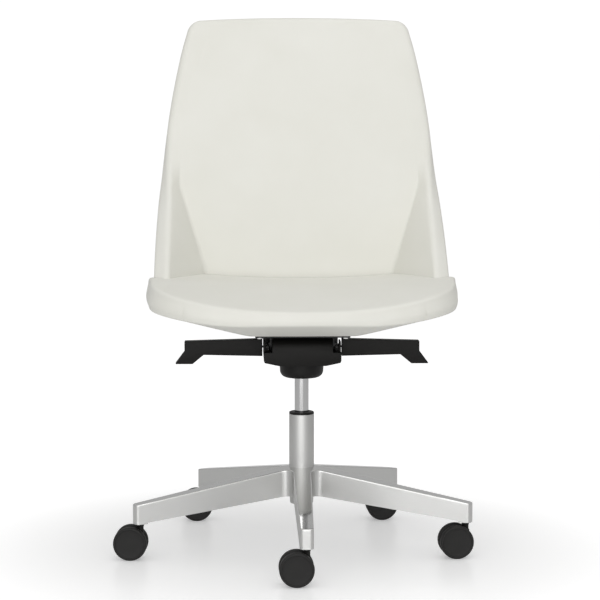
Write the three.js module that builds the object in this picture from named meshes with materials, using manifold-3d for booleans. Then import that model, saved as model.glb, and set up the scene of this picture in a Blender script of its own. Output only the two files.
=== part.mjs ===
// Swivel office chair: a padded bucket shell on a tilting mechanism, a gas column and a five-arm
// base on twin-wheel castors. Millimetres, +Z up, the floor at z = 0, the column on the Z axis and
// the sitter facing -Y.
import * as THREE from 'three';
import { mergeVertices } from 'three/addons/utils/BufferGeometryUtils.js';
import Module from 'manifold-3d';

// ---------------------------------------------------------------- driving dimensions
const clearance = 0.3; // between neighbouring pieces
const fineSides = 24; // round pieces over about 40 mm across
const plainSides = 16; // smaller round pieces
const smallSides = 12; // pins, screws and their bores

// castors
const wheelRadius = 33.25;
const wheelWidth = 16;
const wheelBevel = 3;
const wheelSides = 20;
const wheelWeb = 5; // over the axle's end
const housingWidth = 13;
const housingRadius = 25;
const neckDiameter = 15;
const neckRise = 3.5; // of the neck's top above the wheel
const trail = 19;
const trailTurns = [181.4, 184.9, 183, 183, 176.4]; // degrees, the way that each castor trails at rest
const axleDiameter = 6;
const stemDiameter = 11;
const stemLength = 30;
const stemCollarDiameter = 13;
const stemCollarHeight = 0.4;

// base
const armCount = 5;
const baseTurn = -90; // degrees, the direction of the first arm
const armReach = 350;
const stemInset = 13; // of the castor's stem from the arm's end
const armTipGap = 1; // over the castor's neck
const armTipHeight = 38;
const armRise = 39; // of the arm's underside from its tip to its root
const armRootHeight = 54;
const armTipWidth = 26;
const armRootWidth = 36;
const armEdgeBevel = 2.5;
const armWall = 4;
const armRootReach = 30;
const padLength = 25; // of the level pad under the arm's tip
const padStep = 1.5;
const hubRadius = 42;
const hubBevel = 6;

// column
const tubeDiameter = 50;
const tubeFootDiameter = 47;
const tubeWall = 1.8;
const tubeDrop = 19.5; // below the base's root
const tubeRise = 108; // above the base's root
const tubePlateRise = 7.5;
const tubePlateThickness = 3;
const bushDepth = 90;
const collarHeight = 4;
const cylinderDiameter = 28;
const cylinderWall = 1.8;
const cylinderInTube = 90;
const cylinderTipDiameter = 25.6;
const glandThickness = 13;
const valveDepth = 58; // of the valve's seat below the cylinder's top
const rodDiameter = 10;
const rodCollarWidth = 3;
const rodCollarHeight = 2;
const pistonInCylinder = 76;
const pistonThickness = 12;
const bearingDiameter = 28;
const bearingThickness = 3.7;
const bumpStopDiameter = 30;
const bumpStopHeight = 14;
const clipDiameter = 18;
const clipThickness = 2;
const clipGroove = 1;
const buttonDiameter = 8;
const buttonRise = 5.7;
const buttonLift = 6; // of its foot above the valve's seat

// seat's underside
const bellyZ = 440;
const bracketOverhang = 20; // of the underside's flat in front of the bracket
const bellySideOverhang = 13;
const bellyRearOverhang = 17;
const bellyRearRadius = 100;
const bellySideSlope = 0.28;
const bellyFrontSlope = 0.26;

// seat bracket
const bracketThickness = 4;
const bracketSideOverhang = 17; // past the mechanism's housing
const bracketEndOverhang = 13;
const earThickness = 3;
const flangeHeight = 35; // of the turned-down edge at the bracket's rear
const earRadius = 14;
const screwSideInset = 9;
const screwFrontInset = 16;
const screwRearInset = 18;
const screwDiameter = 6;
const screwHeadDiameter = 12;
const screwHeadHeight = 3.5;
const screwTipInset = 2; // of the screw's tip below the board's inner face

// mechanism
const deckDrop = 31.7; // of the housing's deck below the bracket
const housingDepth = 26;
const housingHalfWidth = 76.5;
const housingHalfDepth = 75;
const housingWall = 3;
const housingSkirt = 18; // height of the housing's upright side above its sloping underside
const housingFlareWidth = 7;
const housingFlareDrop = 3;
const cornerRound = 2;
const bossRadius = 22;
const blockDrop = 4.2;
const slotWidth = 17; // between the block and the housing's side
const blockNoseRadius = 20;
const blockSink = 5; // of the upright pieces into the deck
const tiltAxleInset = 30; // behind the housing's front
const tiltAxleDrop = 17.7;
const tiltAxleDiameter = 12;
const blockBehindAxle = 15;
const axleClipDiameter = 17;
const axleClipThickness = 1.5;
const springCoilRadius = 11;
const springWireDiameter = 4;
const springTurns = 7;
const springPitch = 5.4;
const cupTopDiameter = 89;
const cupFootDiameter = 87;
const cupHeight = 31.4;
const cupEdgeRadius = 14;
const cupSeatMargin = 2;

// levers
const leverPinInset = 7.5; // inside the housing's face
const leverPinRise = 7; // above the deck
const leverPinDiameter = 5;
const leverBehindBlock = 5;
const leverDepth = 22;
const leverGap = 2.4; // between the lever and the housing
const leverLength = 154.7;
const leverStartRise = 16;
const leverStartDrop = 18;
const leverEndRise = 11.7;
const leverEndDrop = 15.3;
const leverEdge = 1;
const paddleReach = 18; // beyond the lever's end
const paddleDrop = 33.5;
const paddleWidth = 34;
const paddleRoot = 38;
const paddleShoulderDrop = 11;
const armStripWidth = 10;
const armStripThickness = 3;
const armStripInLever = 38;
const knuckleWall = 2.3;
const lugThickness = 5;
const lugMargin = 2;
const lockArmEnd = 24;
const releaseFootWidth = 14;

// shell
const seatThickness = 90;
const seatLineRise = 5; // of the line where the back pad meets the seat pad
const backFootSink = 12;
const backFootY = 172;
const backLean = 0.1;
const backCurve = 9.4e-5;
const backSag = 8;
const shellRise = 534;
const topCrown = 7;
const crownDepth = 80;
const topCornerRadius = 21;
const topHalfWidth = 225;
const footHalfWidth = 293.7;
const outlinePower = 2.1;
const wingApexRise = 215;
const wingFootRise = 10;
const wingFootY = -30;
const wingBlend = 22;
const creaseFootX = 195;
const creaseApexX = 258;
const creaseRound = 9;
const backPadDepth = 20;
const coreThickness = 8;
const coverThickness = 5.7;
const coreInset = 13;
const rimFrontRadius = 12;
const rimRearRadius = 9;
const upperShares = [1, 0.71, 0.41, 0.19, 0.085, 0]; // rows from the top corner to the wing's apex
const lowerShares = [0.12, 0.29, 0.51, 0.76, 1]; // rows from the wing's apex to its foot

// seat
const seatDish = 18;
const seatWaterfall = 22;
const seatWaterfallStart = -40;
const seatWaterfallLength = 185;
const seatWaterfallPower = 1.5;
const seatOverhang = 4.3; // of the seat's side past the wing
const seatSideLength = 60;
const seatNoseLength = 160;
const seatSidePower = 2.6;
const seatNosePower = 2.2;
const seatCornerTurn = 48; // degrees round the outline at which the side becomes the front
const seatRollRadius = 8;
const seatFootRadius = 5;

// ---------------------------------------------------------------- derived places
const wheelHalfGap = housingWidth / 2 + clearance;
const neckTop = 2 * wheelRadius + neckRise;
const stemReach = armReach - stemInset;
const armTipBottom = neckTop + armTipGap;
const armTipTop = armTipBottom + armTipHeight;
const armRootBottom = armTipBottom + armRise;
const armRootTop = armRootBottom + armRootHeight;

const bracketTop = bellyZ - clearance;
const bracketFoot = bracketTop - bracketThickness;
const bracketHalfWidth = housingHalfWidth + bracketSideOverhang;
const bracketHalfDepth = housingHalfDepth + bracketEndOverhang;
const bellyHalfWidth = bracketHalfWidth + bellySideOverhang;
const bellyFront = -bracketHalfDepth - bracketOverhang;
const bellyRear = bracketHalfDepth + bellyRearOverhang;
const housingDeck = bracketFoot - deckDrop;
const housingFoot = housingDeck - housingDepth;
const sideWallInside = housingHalfWidth - housingWall;
const blockTop = bracketFoot - blockDrop;
const blockHalfWidth = housingHalfWidth - slotWidth;
const tiltAxleY = -housingHalfDepth + tiltAxleInset;
const tiltAxleZ = bracketFoot - tiltAxleDrop;
const blockRear = tiltAxleY + blockBehindAxle;
const earInside = blockHalfWidth + 3 * clearance;
const cupTop = housingFoot - clearance;
const cupFoot = cupTop - cupHeight;

const tubeFoot = armRootBottom - tubeDrop;
const tubeTop = armRootTop + tubeRise;
const plateFoot = tubeFoot + tubePlateRise;
const plateTop = plateFoot + tubePlateThickness;
const bearingFoot = plateTop + clearance;
const bearingTop = bearingFoot + bearingThickness;
const shoulderFoot = bearingTop + clearance;
const cylinderFoot = tubeTop - cylinderInTube;
const cylinderTop = housingDeck - 1;
const pistonTop = cylinderFoot + pistonInCylinder;
const valveSeat = cylinderTop - valveDepth;
const housingTaper = cylinderDiameter / 2 + clearance;

const leverPinX = housingHalfWidth - leverPinInset;
const leverPinZ = housingDeck + leverPinRise;
const leverY = blockRear + leverBehindBlock;
const leverStart = housingHalfWidth + leverGap;
const leverEnd = leverStart + leverLength;
const armStripReach = leverStart + armStripInLever;

const seatTop = bellyZ + seatThickness;
const seatLine = seatTop + seatLineRise;
const backFoot = seatLine - backFootSink;
const shellTop = seatLine + shellRise;
const wingApexZ = seatLine + wingApexRise;
const wingFootZ = seatLine + wingFootRise;
const coreFrom = backPadDepth + clearance;
const coreTo = coreFrom + coreThickness;
const coverFrom = coreTo + clearance;
const shellDepth = coverFrom + coverThickness;
const coreFoot = coverThickness + clearance;
const coreTop = coreFoot + coreThickness;
const roomInset = coreInset - 2 * clearance;
const seatHalfWidth = footHalfWidth + seatOverhang;
const seatCornerStart = wingFootY - seatSideLength;

// ---------------------------------------------------------------- materials
const material = (color, roughness, metalness) =>
  new THREE.MeshStandardMaterial({ color, roughness, metalness });
const polished = material(0xc9c8c5, 0.22, 1);
const steel = material(0xbfbfbd, 0.28, 1);
const black = material(0x262524, 0.55, 0);
const wheelBlack = material(0x242322, 0.6, 0);
const blackMetal = material(0x1f1f1f, 0.5, 0.4);
const rubber = material(0x1c1b1b, 0.8, 0);
const cream = material(0xe3e2da, 0.6, 0);
const shellBoard = material(0xb9a98c, 0.7, 0);

// ---------------------------------------------------------------- solids
const wasm = await Module();
wasm.setup();

function welded(geometry) {
  const bare = geometry.clone();
  bare.deleteAttribute('normal');
  bare.deleteAttribute('uv');
  return mergeVertices(bare, 1e-4);
}

function solid(geometry) {
  const clean = welded(geometry);
  return new wasm.Manifold(new wasm.Mesh({
    numProp: 3,
    vertProperties: new Float32Array(clean.attributes.position.array),
    triVerts: new Uint32Array(clean.index.array),
  }));
}

function geometryOf(body) {
  const { vertProperties, triVerts, numProp } = body.getMesh();
  const positions = new Float32Array((vertProperties.length / numProp) * 3);
  for (let i = 0; i < positions.length / 3; i += 1) {
    positions.set(vertProperties.subarray(i * numProp, i * numProp + 3), i * 3);
  }
  const geometry = new THREE.BufferGeometry();
  geometry.setAttribute('position', new THREE.BufferAttribute(positions, 3));
  geometry.setIndex(new THREE.BufferAttribute(new Uint32Array(triVerts), 1));
  return geometry;
}

// The biggest body of a cut shape, without the crumbs that are left where two curved faces cross.
function biggest(body) {
  return body.simplify(0.02).decompose().sort((a, b) => b.volume() - a.volume())[0];
}

const chair = new THREE.Group();

function add(parent, name, shape, surface) {
  const geometry = shape instanceof THREE.BufferGeometry ? shape : geometryOf(shape);
  geometry.computeVertexNormals();
  const mesh = new THREE.Mesh(geometry, surface);
  mesh.name = name;
  parent.add(mesh);
  return mesh;
}

// A lathe about Z from a closed list of [radius, height] pairs.
function turned(profile, sides) {
  const loop = [...profile, profile[0]].map(([r, z]) => new THREE.Vector2(r, z));
  return new THREE.LatheGeometry(loop, sides).rotateX(Math.PI / 2);
}

// A ring or disc about Z between two heights.
function ring(inner, outer, foot, top, sides) {
  const loop = [[inner, foot], [outer, foot], [outer, top], [inner, top]];
  return turned(loop, sides);
}

function cylinder(radius, foot, top, sides = 24) {
  return new THREE.CylinderGeometry(radius, radius, top - foot, sides)
    .rotateX(Math.PI / 2)
    .translate(0, 0, (foot + top) / 2);
}

function box(x0, x1, y0, y1, z0, z1) {
  return new THREE.BoxGeometry(x1 - x0, y1 - y0, z1 - z0)
    .translate((x0 + x1) / 2, (y0 + y1) / 2, (z0 + z1) / 2);
}

// An outline of [a, b] pairs pushed out along the third axis, from low to high.
function pushedX(outline, low, high) {
  const shape = new THREE.Shape(outline.map(([y, z]) => new THREE.Vector2(y, z)));
  const geometry = new THREE.ExtrudeGeometry(shape, { depth: high - low, bevelEnabled: false });
  const turn = new THREE.Matrix4().set(0, 0, 1, low, 1, 0, 0, 0, 0, 1, 0, 0, 0, 0, 0, 1);
  return geometry.applyMatrix4(turn);
}

function pushedY(outline, low, high) {
  const shape = new THREE.Shape(outline.map(([x, z]) => new THREE.Vector2(x, z)));
  const geometry = new THREE.ExtrudeGeometry(shape, { depth: high - low, bevelEnabled: false });
  return geometry.rotateX(Math.PI / 2).translate(0, high, 0);
}

// A closed solid between two equal grids of points, front facing the sitter.
function slab(front, rear) {
  const rows = front.length;
  const columns = front[0].length;
  const count = rows * columns;
  const positions = [...front.flat(), ...rear.flat()].flatMap((p) => [p.x, p.y, p.z]);
  const index = [];
  const quad = (a, b, c, d) => index.push(a, b, c, a, c, d);
  for (let i = 0; i + 1 < rows; i += 1) {
    for (let j = 0; j + 1 < columns; j += 1) {
      const a = i * columns + j;
      quad(a, a + columns, a + columns + 1, a + 1);
      quad(count + a, count + a + 1, count + a + columns + 1, count + a + columns);
    }
  }
  for (let i = 0; i + 1 < rows; i += 1) {
    const left = i * columns;
    const right = left + columns - 1;
    quad(left, count + left, count + left + columns, left + columns);
    quad(right, right + columns, count + right + columns, count + right);
  }
  for (let j = 0; j + 1 < columns; j += 1) {
    const last = (rows - 1) * columns + j;
    quad(j, j + 1, count + j + 1, count + j);
    quad(last, count + last, count + last + 1, last + 1);
  }
  const geometry = new THREE.BufferGeometry();
  geometry.setAttribute('position', new THREE.Float32BufferAttribute(positions, 3));
  geometry.setIndex(index);
  return geometry;
}

// ---------------------------------------------------------------- castors
// Each castor is made about its own stem, trailing along +X, and then turned and placed.
function addCastor(number, x, y) {
  const castor = new THREE.Group();
  castor.position.set(x, y, 0);
  castor.rotation.z = THREE.MathUtils.degToRad(trailTurns[number - 1]);
  chair.add(castor);
  const name = `castor_${number}`;

  const disc = cylinder(housingRadius, -housingWidth / 2, housingWidth / 2, plainSides)
    .rotateX(Math.PI / 2)
    .translate(trail, 0, wheelRadius);
  const neck = cylinder(neckDiameter / 2, wheelRadius, neckTop, smallSides);
  const web = box(-housingWidth / 2, trail, -housingWidth / 2, housingWidth / 2,
    wheelRadius, wheelRadius + housingRadius - 1);
  const beside = box(-neckDiameter, neckDiameter, -neckDiameter, neckDiameter, 0, neckTop * 2)
    .translate(0, 0, -neckTop * 2 + wheelRadius + Math.sqrt(wheelRadius ** 2 - (trail / 2) ** 2) + 2);
  const between = box(-neckDiameter * 2, trail * 3, -housingWidth / 2, housingWidth / 2, 0, neckTop);
  const trimmed = solid(neck).subtract(solid(beside).subtract(solid(between)));
  const stemBore = cylinder(stemDiameter / 2 + clearance, neckTop - stemLength / 2, neckTop + 1, 10);
  const axleBore = cylinder(axleDiameter / 2 + clearance, -housingWidth, housingWidth, 10)
    .rotateX(Math.PI / 2)
    .translate(trail, 0, wheelRadius);
  const body = solid(disc).add(trimmed).add(solid(web))
    .subtract(solid(stemBore)).subtract(solid(axleBore));
  add(castor, `${name}_body`, body, black);

  const stemFoot = neckTop - stemLength / 2 + clearance;
  const collarFoot = neckTop + clearance;
  const collarTop = collarFoot + stemCollarHeight;
  const stem = turned([
    [0, stemFoot], [stemDiameter / 2, stemFoot], [stemDiameter / 2, collarFoot],
    [stemCollarDiameter / 2, collarFoot], [stemCollarDiameter / 2, collarTop],
    [stemDiameter / 2, collarTop], [stemDiameter / 2, neckTop + stemLength - 1],
    [stemDiameter / 2 - 1, neckTop + stemLength], [0, neckTop + stemLength],
  ], 10);
  add(castor, `${name}_stem`, stem, steel);

  const axleHalf = wheelHalfGap + wheelWidth - wheelWeb - clearance;
  const axle = cylinder(axleDiameter / 2, -axleHalf, axleHalf, 10)
    .rotateX(Math.PI / 2)
    .translate(trail, 0, wheelRadius);
  add(castor, `${name}_axle`, axle, steel);

  // The flats of the tread touch the floor, so its corners stand a little further out.
  const tread = wheelRadius / Math.cos(Math.PI / wheelSides);
  const bore = axleDiameter / 2 + clearance;
  const wheel = turned([
    [0, wheelWidth], [tread - wheelBevel, wheelWidth], [tread, wheelWidth - wheelBevel], [tread, 0],
    [bore, 0], [bore, wheelWidth - wheelWeb], [0, wheelWidth - wheelWeb],
  ].reverse(), wheelSides).rotateZ(Math.PI / wheelSides);
  const right = wheel.clone().rotateX(Math.PI / 2).translate(trail, -wheelHalfGap, wheelRadius);
  const left = wheel.clone().rotateX(-Math.PI / 2).translate(trail, wheelHalfGap, wheelRadius);
  add(castor, `${name}_wheel_left`, left, wheelBlack);
  add(castor, `${name}_wheel_right`, right, wheelBlack);
}

// ---------------------------------------------------------------- base
// Half the arm's width and its top and bottom heights at a distance from the column.
function armAt(reach) {
  const t = (reach - armRootReach) / (armReach - armRootReach);
  const mix = THREE.MathUtils.lerp;
  return {
    half: mix(armRootWidth, armTipWidth, t) / 2,
    top: mix(armRootTop, armTipTop, t),
    foot: mix(armRootBottom, armTipBottom, t),
  };
}

// A straight bar between two stations, each an outline in the plane across the arm.
function bar(stations) {
  const sides = stations[0].outline.length;
  const positions = stations.flatMap(({ reach, outline }) =>
    outline.flatMap(([y, z]) => [reach, y, z]));
  const index = [];
  for (let k = 0; k + 1 < stations.length; k += 1) {
    for (let j = 0; j < sides; j += 1) {
      const a = k * sides + j;
      const b = k * sides + ((j + 1) % sides);
      index.push(a, b + sides, b, a, a + sides, b + sides);
    }
  }
  const last = (stations.length - 1) * sides;
  for (let j = 1; j + 1 < sides; j += 1) {
    index.push(0, j, j + 1);
    index.push(last, last + j + 1, last + j);
  }
  const geometry = new THREE.BufferGeometry();
  geometry.setAttribute('position', new THREE.Float32BufferAttribute(positions, 3));
  geometry.setIndex(index);
  return geometry;
}

function armOutline(reach, foot = armAt(reach).foot) {
  const { half, top } = armAt(reach);
  return {
    reach,
    outline: [
      [-half, foot], [-half, top - armEdgeBevel], [-half + armEdgeBevel, top],
      [half - armEdgeBevel, top], [half, top - armEdgeBevel], [half, foot],
    ],
  };
}

function armPocket(reach) {
  const { half, top, foot } = armAt(reach);
  const inner = half - armWall;
  const roof = top - armEdgeBevel - armWall;
  return { reach, outline: [[-inner, foot - 5], [-inner, roof], [inner, roof], [inner, foot - 5]] };
}

function tubeRadius(z) {
  const t = THREE.MathUtils.clamp((z - tubeFoot) / (armRootTop - tubeFoot), 0, 1);
  return THREE.MathUtils.lerp(tubeFootDiameter, tubeDiameter, t) / 2;
}

function addBase() {
  const hub = turned([
    [0, armRootBottom - hubBevel], [hubRadius - hubBevel, armRootBottom - hubBevel],
    [hubRadius, armRootBottom], [hubRadius, armRootTop - hubBevel / 2],
    [hubRadius - hubBevel / 2, armRootTop], [0, armRootTop],
  ], fineSides);
  let casting = solid(hub);
  const padReach = armReach - padLength;
  const arm = solid(bar([
    armOutline(0), armOutline(padReach - padStep), armOutline(padReach, armTipBottom),
    armOutline(armReach, armTipBottom),
  ]));
  const stemBoss = stemReach - armTipWidth / 2 - 4;
  const pocket = solid(bar([armPocket(hubRadius + 14), armPocket(stemBoss)]));
  const socketTop = neckTop + stemLength + clearance;
  const socket = solid(cylinder(stemDiameter / 2 + clearance, armTipBottom - 5, socketTop, smallSides)
    .translate(stemReach, 0, 0));
  const collarSeat = solid(cylinder(stemCollarDiameter / 2 + clearance, armTipBottom - 5,
    armTipBottom + armTipGap, smallSides).translate(stemReach, 0, 0));
  for (let k = 0; k < armCount; k += 1) {
    const turn = baseTurn + (k * 360) / armCount;
    casting = casting.add(arm.rotate([0, 0, turn]));
  }
  for (let k = 0; k < armCount; k += 1) {
    const turn = baseTurn + (k * 360) / armCount;
    const cut = pocket.add(socket).add(collarSeat);
    casting = casting.subtract(cut.rotate([0, 0, turn]));
  }
  const below = armRootBottom - 20;
  const above = armRootTop + 20;
  const bore = turned([
    [0, below], [tubeRadius(below) + clearance, below],
    [tubeRadius(armRootBottom) + clearance, armRootBottom],
    [tubeDiameter / 2 + clearance, armRootTop], [tubeDiameter / 2 + clearance, above], [0, above],
  ], fineSides);
  add(chair, 'star_base', casting.subtract(solid(bore)), polished);

  for (let k = 0; k < armCount; k += 1) {
    const turn = THREE.MathUtils.degToRad(baseTurn + (k * 360) / armCount);
    addCastor(k + 1, stemReach * Math.cos(turn), stemReach * Math.sin(turn));
  }
}

// ---------------------------------------------------------------- column
function addColumn() {
  const outer = tubeDiameter / 2;
  const inner = outer - tubeWall;
  const innerFoot = tubeFootDiameter / 2 - tubeWall;
  const rodHole = rodDiameter / 2 + clearance;
  const tube = turned([
    [rodHole, plateFoot], [innerFoot, plateFoot], [innerFoot, tubeFoot],
    [tubeFootDiameter / 2, tubeFoot], [outer, armRootTop], [outer, tubeTop], [inner, tubeTop], [inner, armRootTop],
    [innerFoot, plateTop], [rodHole, plateTop],
  ], fineSides);
  add(chair, 'column_tube', tube, polished);

  const bore = cylinderDiameter / 2 + clearance / 2;
  const collarFoot = tubeTop + clearance;
  const bush = turned([
    [bore, tubeTop - bushDepth], [inner - clearance, tubeTop - bushDepth],
    [inner - clearance, collarFoot], [outer, collarFoot], [outer, collarFoot + collarHeight - 1], [outer - 1, collarFoot + collarHeight],
    [bore, collarFoot + collarHeight],
  ], fineSides);
  add(chair, 'guide_bush', bush, black);

  const bearing = ring(rodHole, bearingDiameter / 2, bearingFoot, bearingTop, plainSides);
  add(chair, 'thrust_bearing', bearing, steel);
  const collar = rodDiameter / 2 + rodCollarWidth;
  const collarTop = shoulderFoot + rodCollarHeight;
  const stopFoot = collarTop + clearance;
  const stop = ring(rodHole, bumpStopDiameter / 2, stopFoot, stopFoot + bumpStopHeight, plainSides);
  add(chair, 'bump_stop', stop, rubber);
  const clipTop = plateFoot - clearance;
  const groove = rodDiameter / 2 - clipGroove;
  const clip = ring(groove + clearance, clipDiameter / 2, clipTop - clipThickness, clipTop, plainSides);
  add(chair, 'column_clip', clip, blackMetal);

  const rod = rodDiameter / 2;
  const piston = cylinderDiameter / 2 - cylinderWall - clearance;
  const grooveFoot = clipTop - clipThickness - clearance;
  add(chair, 'piston_rod', turned([
    [0, tubeFoot + clearance], [rod, tubeFoot + clearance], [rod, grooveFoot], [groove, grooveFoot],
    [groove, plateFoot], [rod, plateFoot], [rod, shoulderFoot], [collar, shoulderFoot],
    [collar, collarTop], [rod, collarTop], [rod, pistonTop - pistonThickness],
    [piston, pistonTop - pistonThickness], [piston, pistonTop], [0, pistonTop],
  ], plainSides), steel);

  const wall = cylinderDiameter / 2;
  const chamber = wall - cylinderWall;
  const pin = buttonDiameter / 2 + clearance;
  add(chair, 'gas_cylinder', turned([
    [rodHole, cylinderFoot], [wall, cylinderFoot], [wall, housingFoot],
    [cylinderTipDiameter / 2, cylinderTop], [pin, cylinderTop], [pin, valveSeat], [chamber, valveSeat],
    [chamber, cylinderFoot + glandThickness], [rodHole, cylinderFoot + glandThickness],
  ], fineSides), steel);
  const button = cylinder(
    buttonDiameter / 2, valveSeat + buttonLift, cylinderTop + buttonRise, smallSides);
  add(chair, 'release_button', button, steel);

  const cupBore = cylinderDiameter / 2 + clearance;
  const edge = [];
  for (let k = 0; k <= 3; k += 1) {
    const turn = (k / 3) * (Math.PI / 2);
    edge.push([
      cupFootDiameter / 2 - cupEdgeRadius + cupEdgeRadius * Math.sin(turn),
      cupFoot + cupEdgeRadius - cupEdgeRadius * Math.cos(turn),
    ]);
  }
  const cup = turned(
    [[cupBore, cupFoot], ...edge, [cupTopDiameter / 2, cupTop], [cupBore, cupTop]], fineSides);
  add(chair, 'column_cup', cup, black);
}

// ---------------------------------------------------------------- mechanism
function alongX(geometry, y, z) {
  return geometry.rotateY(Math.PI / 2).translate(0, y, z);
}

function alongY(geometry, x, z) {
  return geometry.rotateX(Math.PI / 2).translate(x, 0, z);
}

function addMechanism() {
  const low = housingDeck - housingSkirt;
  const sunkFoot = housingDeck - blockSink;
  const right = [
    [cupTopDiameter / 2 + cupSeatMargin, housingFoot],
    [housingHalfWidth - housingFlareWidth, low - housingFlareDrop],
    [housingHalfWidth - cornerRound, low - cornerRound], [housingHalfWidth, low + cornerRound],
    [housingHalfWidth, housingDeck],
  ];
  const left = right.map(([x, z]) => [-x, z]).reverse();
  const tray = pushedY([...right, ...left], -housingHalfDepth, housingHalfDepth);

  const nose = [];
  for (let k = 0; k <= 4; k += 1) {
    const turn = (k / 4) * (Math.PI / 2);
    nose.push([
      -housingHalfDepth + blockNoseRadius - blockNoseRadius * Math.cos(turn),
      blockTop - blockNoseRadius + blockNoseRadius * Math.sin(turn),
    ]);
  }
  const block = pushedX([
    [-housingHalfDepth, sunkFoot], ...nose, [blockRear, blockTop], [blockRear, sunkFoot],
  ].reverse(), -blockHalfWidth, blockHalfWidth);

  const wallTop = leverPinZ + 12;
  const wallFront = leverY - 27;
  const wallRear = leverY + 15;
  const lugFront = leverY - armStripWidth / 2 - 1;
  const lugRear = leverY + armStripWidth / 2 + 1;
  const lugInside = leverPinX - leverPinDiameter / 2 - 1;
  const lugTop = leverPinZ + leverPinDiameter / 2 + lugMargin;
  let housing = solid(tray).add(solid(block));
  for (const side of [-1, 1]) {
    const span = (a, b) => (side > 0 ? [a, b] : [-b, -a]);
    const across = span(sideWallInside, housingHalfWidth);
    const lug = span(lugInside, sideWallInside + 1);
    const wall = box(...across, wallFront, wallRear, sunkFoot, wallTop);
    const lugA = box(...lug, lugFront - lugThickness, lugFront, sunkFoot, lugTop);
    const lugB = box(...lug, lugRear, lugRear + lugThickness, sunkFoot, lugTop);
    housing = housing.add(solid(wall)).add(solid(lugA)).add(solid(lugB));
    const window = box(...span(sideWallInside - 1, housingHalfWidth + 1), lugFront, lugRear,
      housingDeck, lugTop);
    const lugSpan = armStripWidth / 2 + 2 * lugThickness;
    const pinBore = alongY(cylinder(leverPinDiameter / 2 + clearance, -lugSpan, lugSpan, smallSides),
      side * leverPinX, leverPinZ).translate(0, leverY, 0);
    housing = housing.subtract(solid(window)).subtract(solid(pinBore));
  }
  const pocket = box(-housingHalfWidth + housingWall + 2, housingHalfWidth - housingWall - 2,
    blockRear, housingHalfDepth - housingWall, low, housingDeck + 1);
  const boss = cylinder(bossRadius, housingFoot, housingDeck, fineSides);
  const taper = turned([
    [0, housingFoot - 1], [housingTaper, housingFoot - 1], [housingTaper, housingFoot],
    [cylinderTipDiameter / 2 + clearance, cylinderTop],
    [cylinderTipDiameter / 2 + clearance, housingDeck + 1], [0, housingDeck + 1],
  ], fineSides);
  const strips = solid(box(-lugInside - 1, lugInside + 1, lugFront, blockRear + 1,
    housingDeck, blockTop + 1));
  const axleBore = alongX(cylinder(tiltAxleDiameter / 2 + clearance, -blockHalfWidth - 1,
    blockHalfWidth + 1, plainSides), tiltAxleY, tiltAxleZ);
  const springHalf = (springTurns * springPitch) / 2 + springWireDiameter;
  const springRoom = alongX(cylinder(springCoilRadius + springWireDiameter / 2 + 1, -springHalf,
    springHalf, 20), tiltAxleY, tiltAxleZ);
  const springDoor = box(-springHalf, springHalf, tiltAxleY, blockRear + 1,
    tiltAxleZ - springCoilRadius + 1, tiltAxleZ + springCoilRadius - 1);
  housing = housing
    .subtract(solid(pocket).subtract(solid(boss)))
    .subtract(solid(taper))
    .subtract(strips)
    .subtract(solid(axleBore))
    .subtract(solid(springRoom))
    .subtract(solid(springDoor));
  add(chair, 'mechanism_housing', housing, black);

  const earOutside = earInside + earThickness;
  const clipInside = earOutside + clearance;
  const axleHalf = clipInside + axleClipThickness + 1;
  const axle = cylinder(tiltAxleDiameter / 2, -axleHalf, axleHalf, plainSides);
  add(chair, 'tilt_axle', alongX(axle, tiltAxleY, tiltAxleZ), steel);
  for (const [name, inner, outer] of [
    ['axle_clip_left', -clipInside - axleClipThickness, -clipInside],
    ['axle_clip_right', clipInside, clipInside + axleClipThickness],
  ]) {
    const clip = ring(tiltAxleDiameter / 2 + clearance, axleClipDiameter / 2, inner, outer, plainSides);
    add(chair, name, alongX(clip, tiltAxleY, tiltAxleZ), blackMetal);
  }

  const coil = new THREE.CatmullRomCurve3(Array.from({ length: springTurns * 8 + 1 }, (unused, k) => {
    const turn = (k / 8) * 2 * Math.PI;
    return new THREE.Vector3(
      (k / 8 - springTurns / 2) * springPitch,
      tiltAxleY + springCoilRadius * Math.cos(turn),
      tiltAxleZ + springCoilRadius * Math.sin(turn),
    );
  }));
  const wire = new THREE.Shape(Array.from({ length: 5 }, (unused, k) => {
    const turn = (k / 5) * 2 * Math.PI;
    return new THREE.Vector2(Math.cos(turn), Math.sin(turn)).multiplyScalar(springWireDiameter / 2);
  }));
  const spring = new THREE.ExtrudeGeometry(wire, { steps: springTurns * 8, extrudePath: coil });
  add(chair, 'tilt_spring', spring, blackMetal);

  for (const [name, side] of [['lever_pin_left', -1], ['lever_pin_right', 1]]) {
    const reach = armStripWidth / 2 + 1 + lugThickness;
    const pin = cylinder(leverPinDiameter / 2, -reach, reach, smallSides);
    add(chair, name, alongY(pin, side * leverPinX, leverPinZ).translate(0, leverY, 0), steel);
  }
}

// ---------------------------------------------------------------- levers
function paddleOutline() {
  const tipX = leverEnd + paddleReach;
  const tipZ = leverPinZ - paddleDrop;
  const shoulderZ = leverPinZ - paddleShoulderDrop;
  const endTop = leverPinZ + leverEndRise;
  return [
    [leverStart, leverPinZ - leverStartDrop], [leverEnd - paddleRoot, leverPinZ - leverEndDrop],
    [tipX - paddleWidth, tipZ], [tipX - leverEdge, tipZ], [tipX, tipZ + leverEdge],
    [leverEnd + 2 * leverEdge, shoulderZ], [leverEnd, shoulderZ + 2 * leverEdge],
    [leverEnd, endTop - leverEdge], [leverEnd - leverEdge, endTop],
    [leverStart, leverPinZ + leverStartRise],
  ];
}

function stripHole() {
  const pin = cylinder(leverPinDiameter / 2 + clearance, -armStripWidth, armStripWidth, smallSides);
  return alongY(pin, leverPinX, leverPinZ).translate(0, leverY, 0);
}

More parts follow.
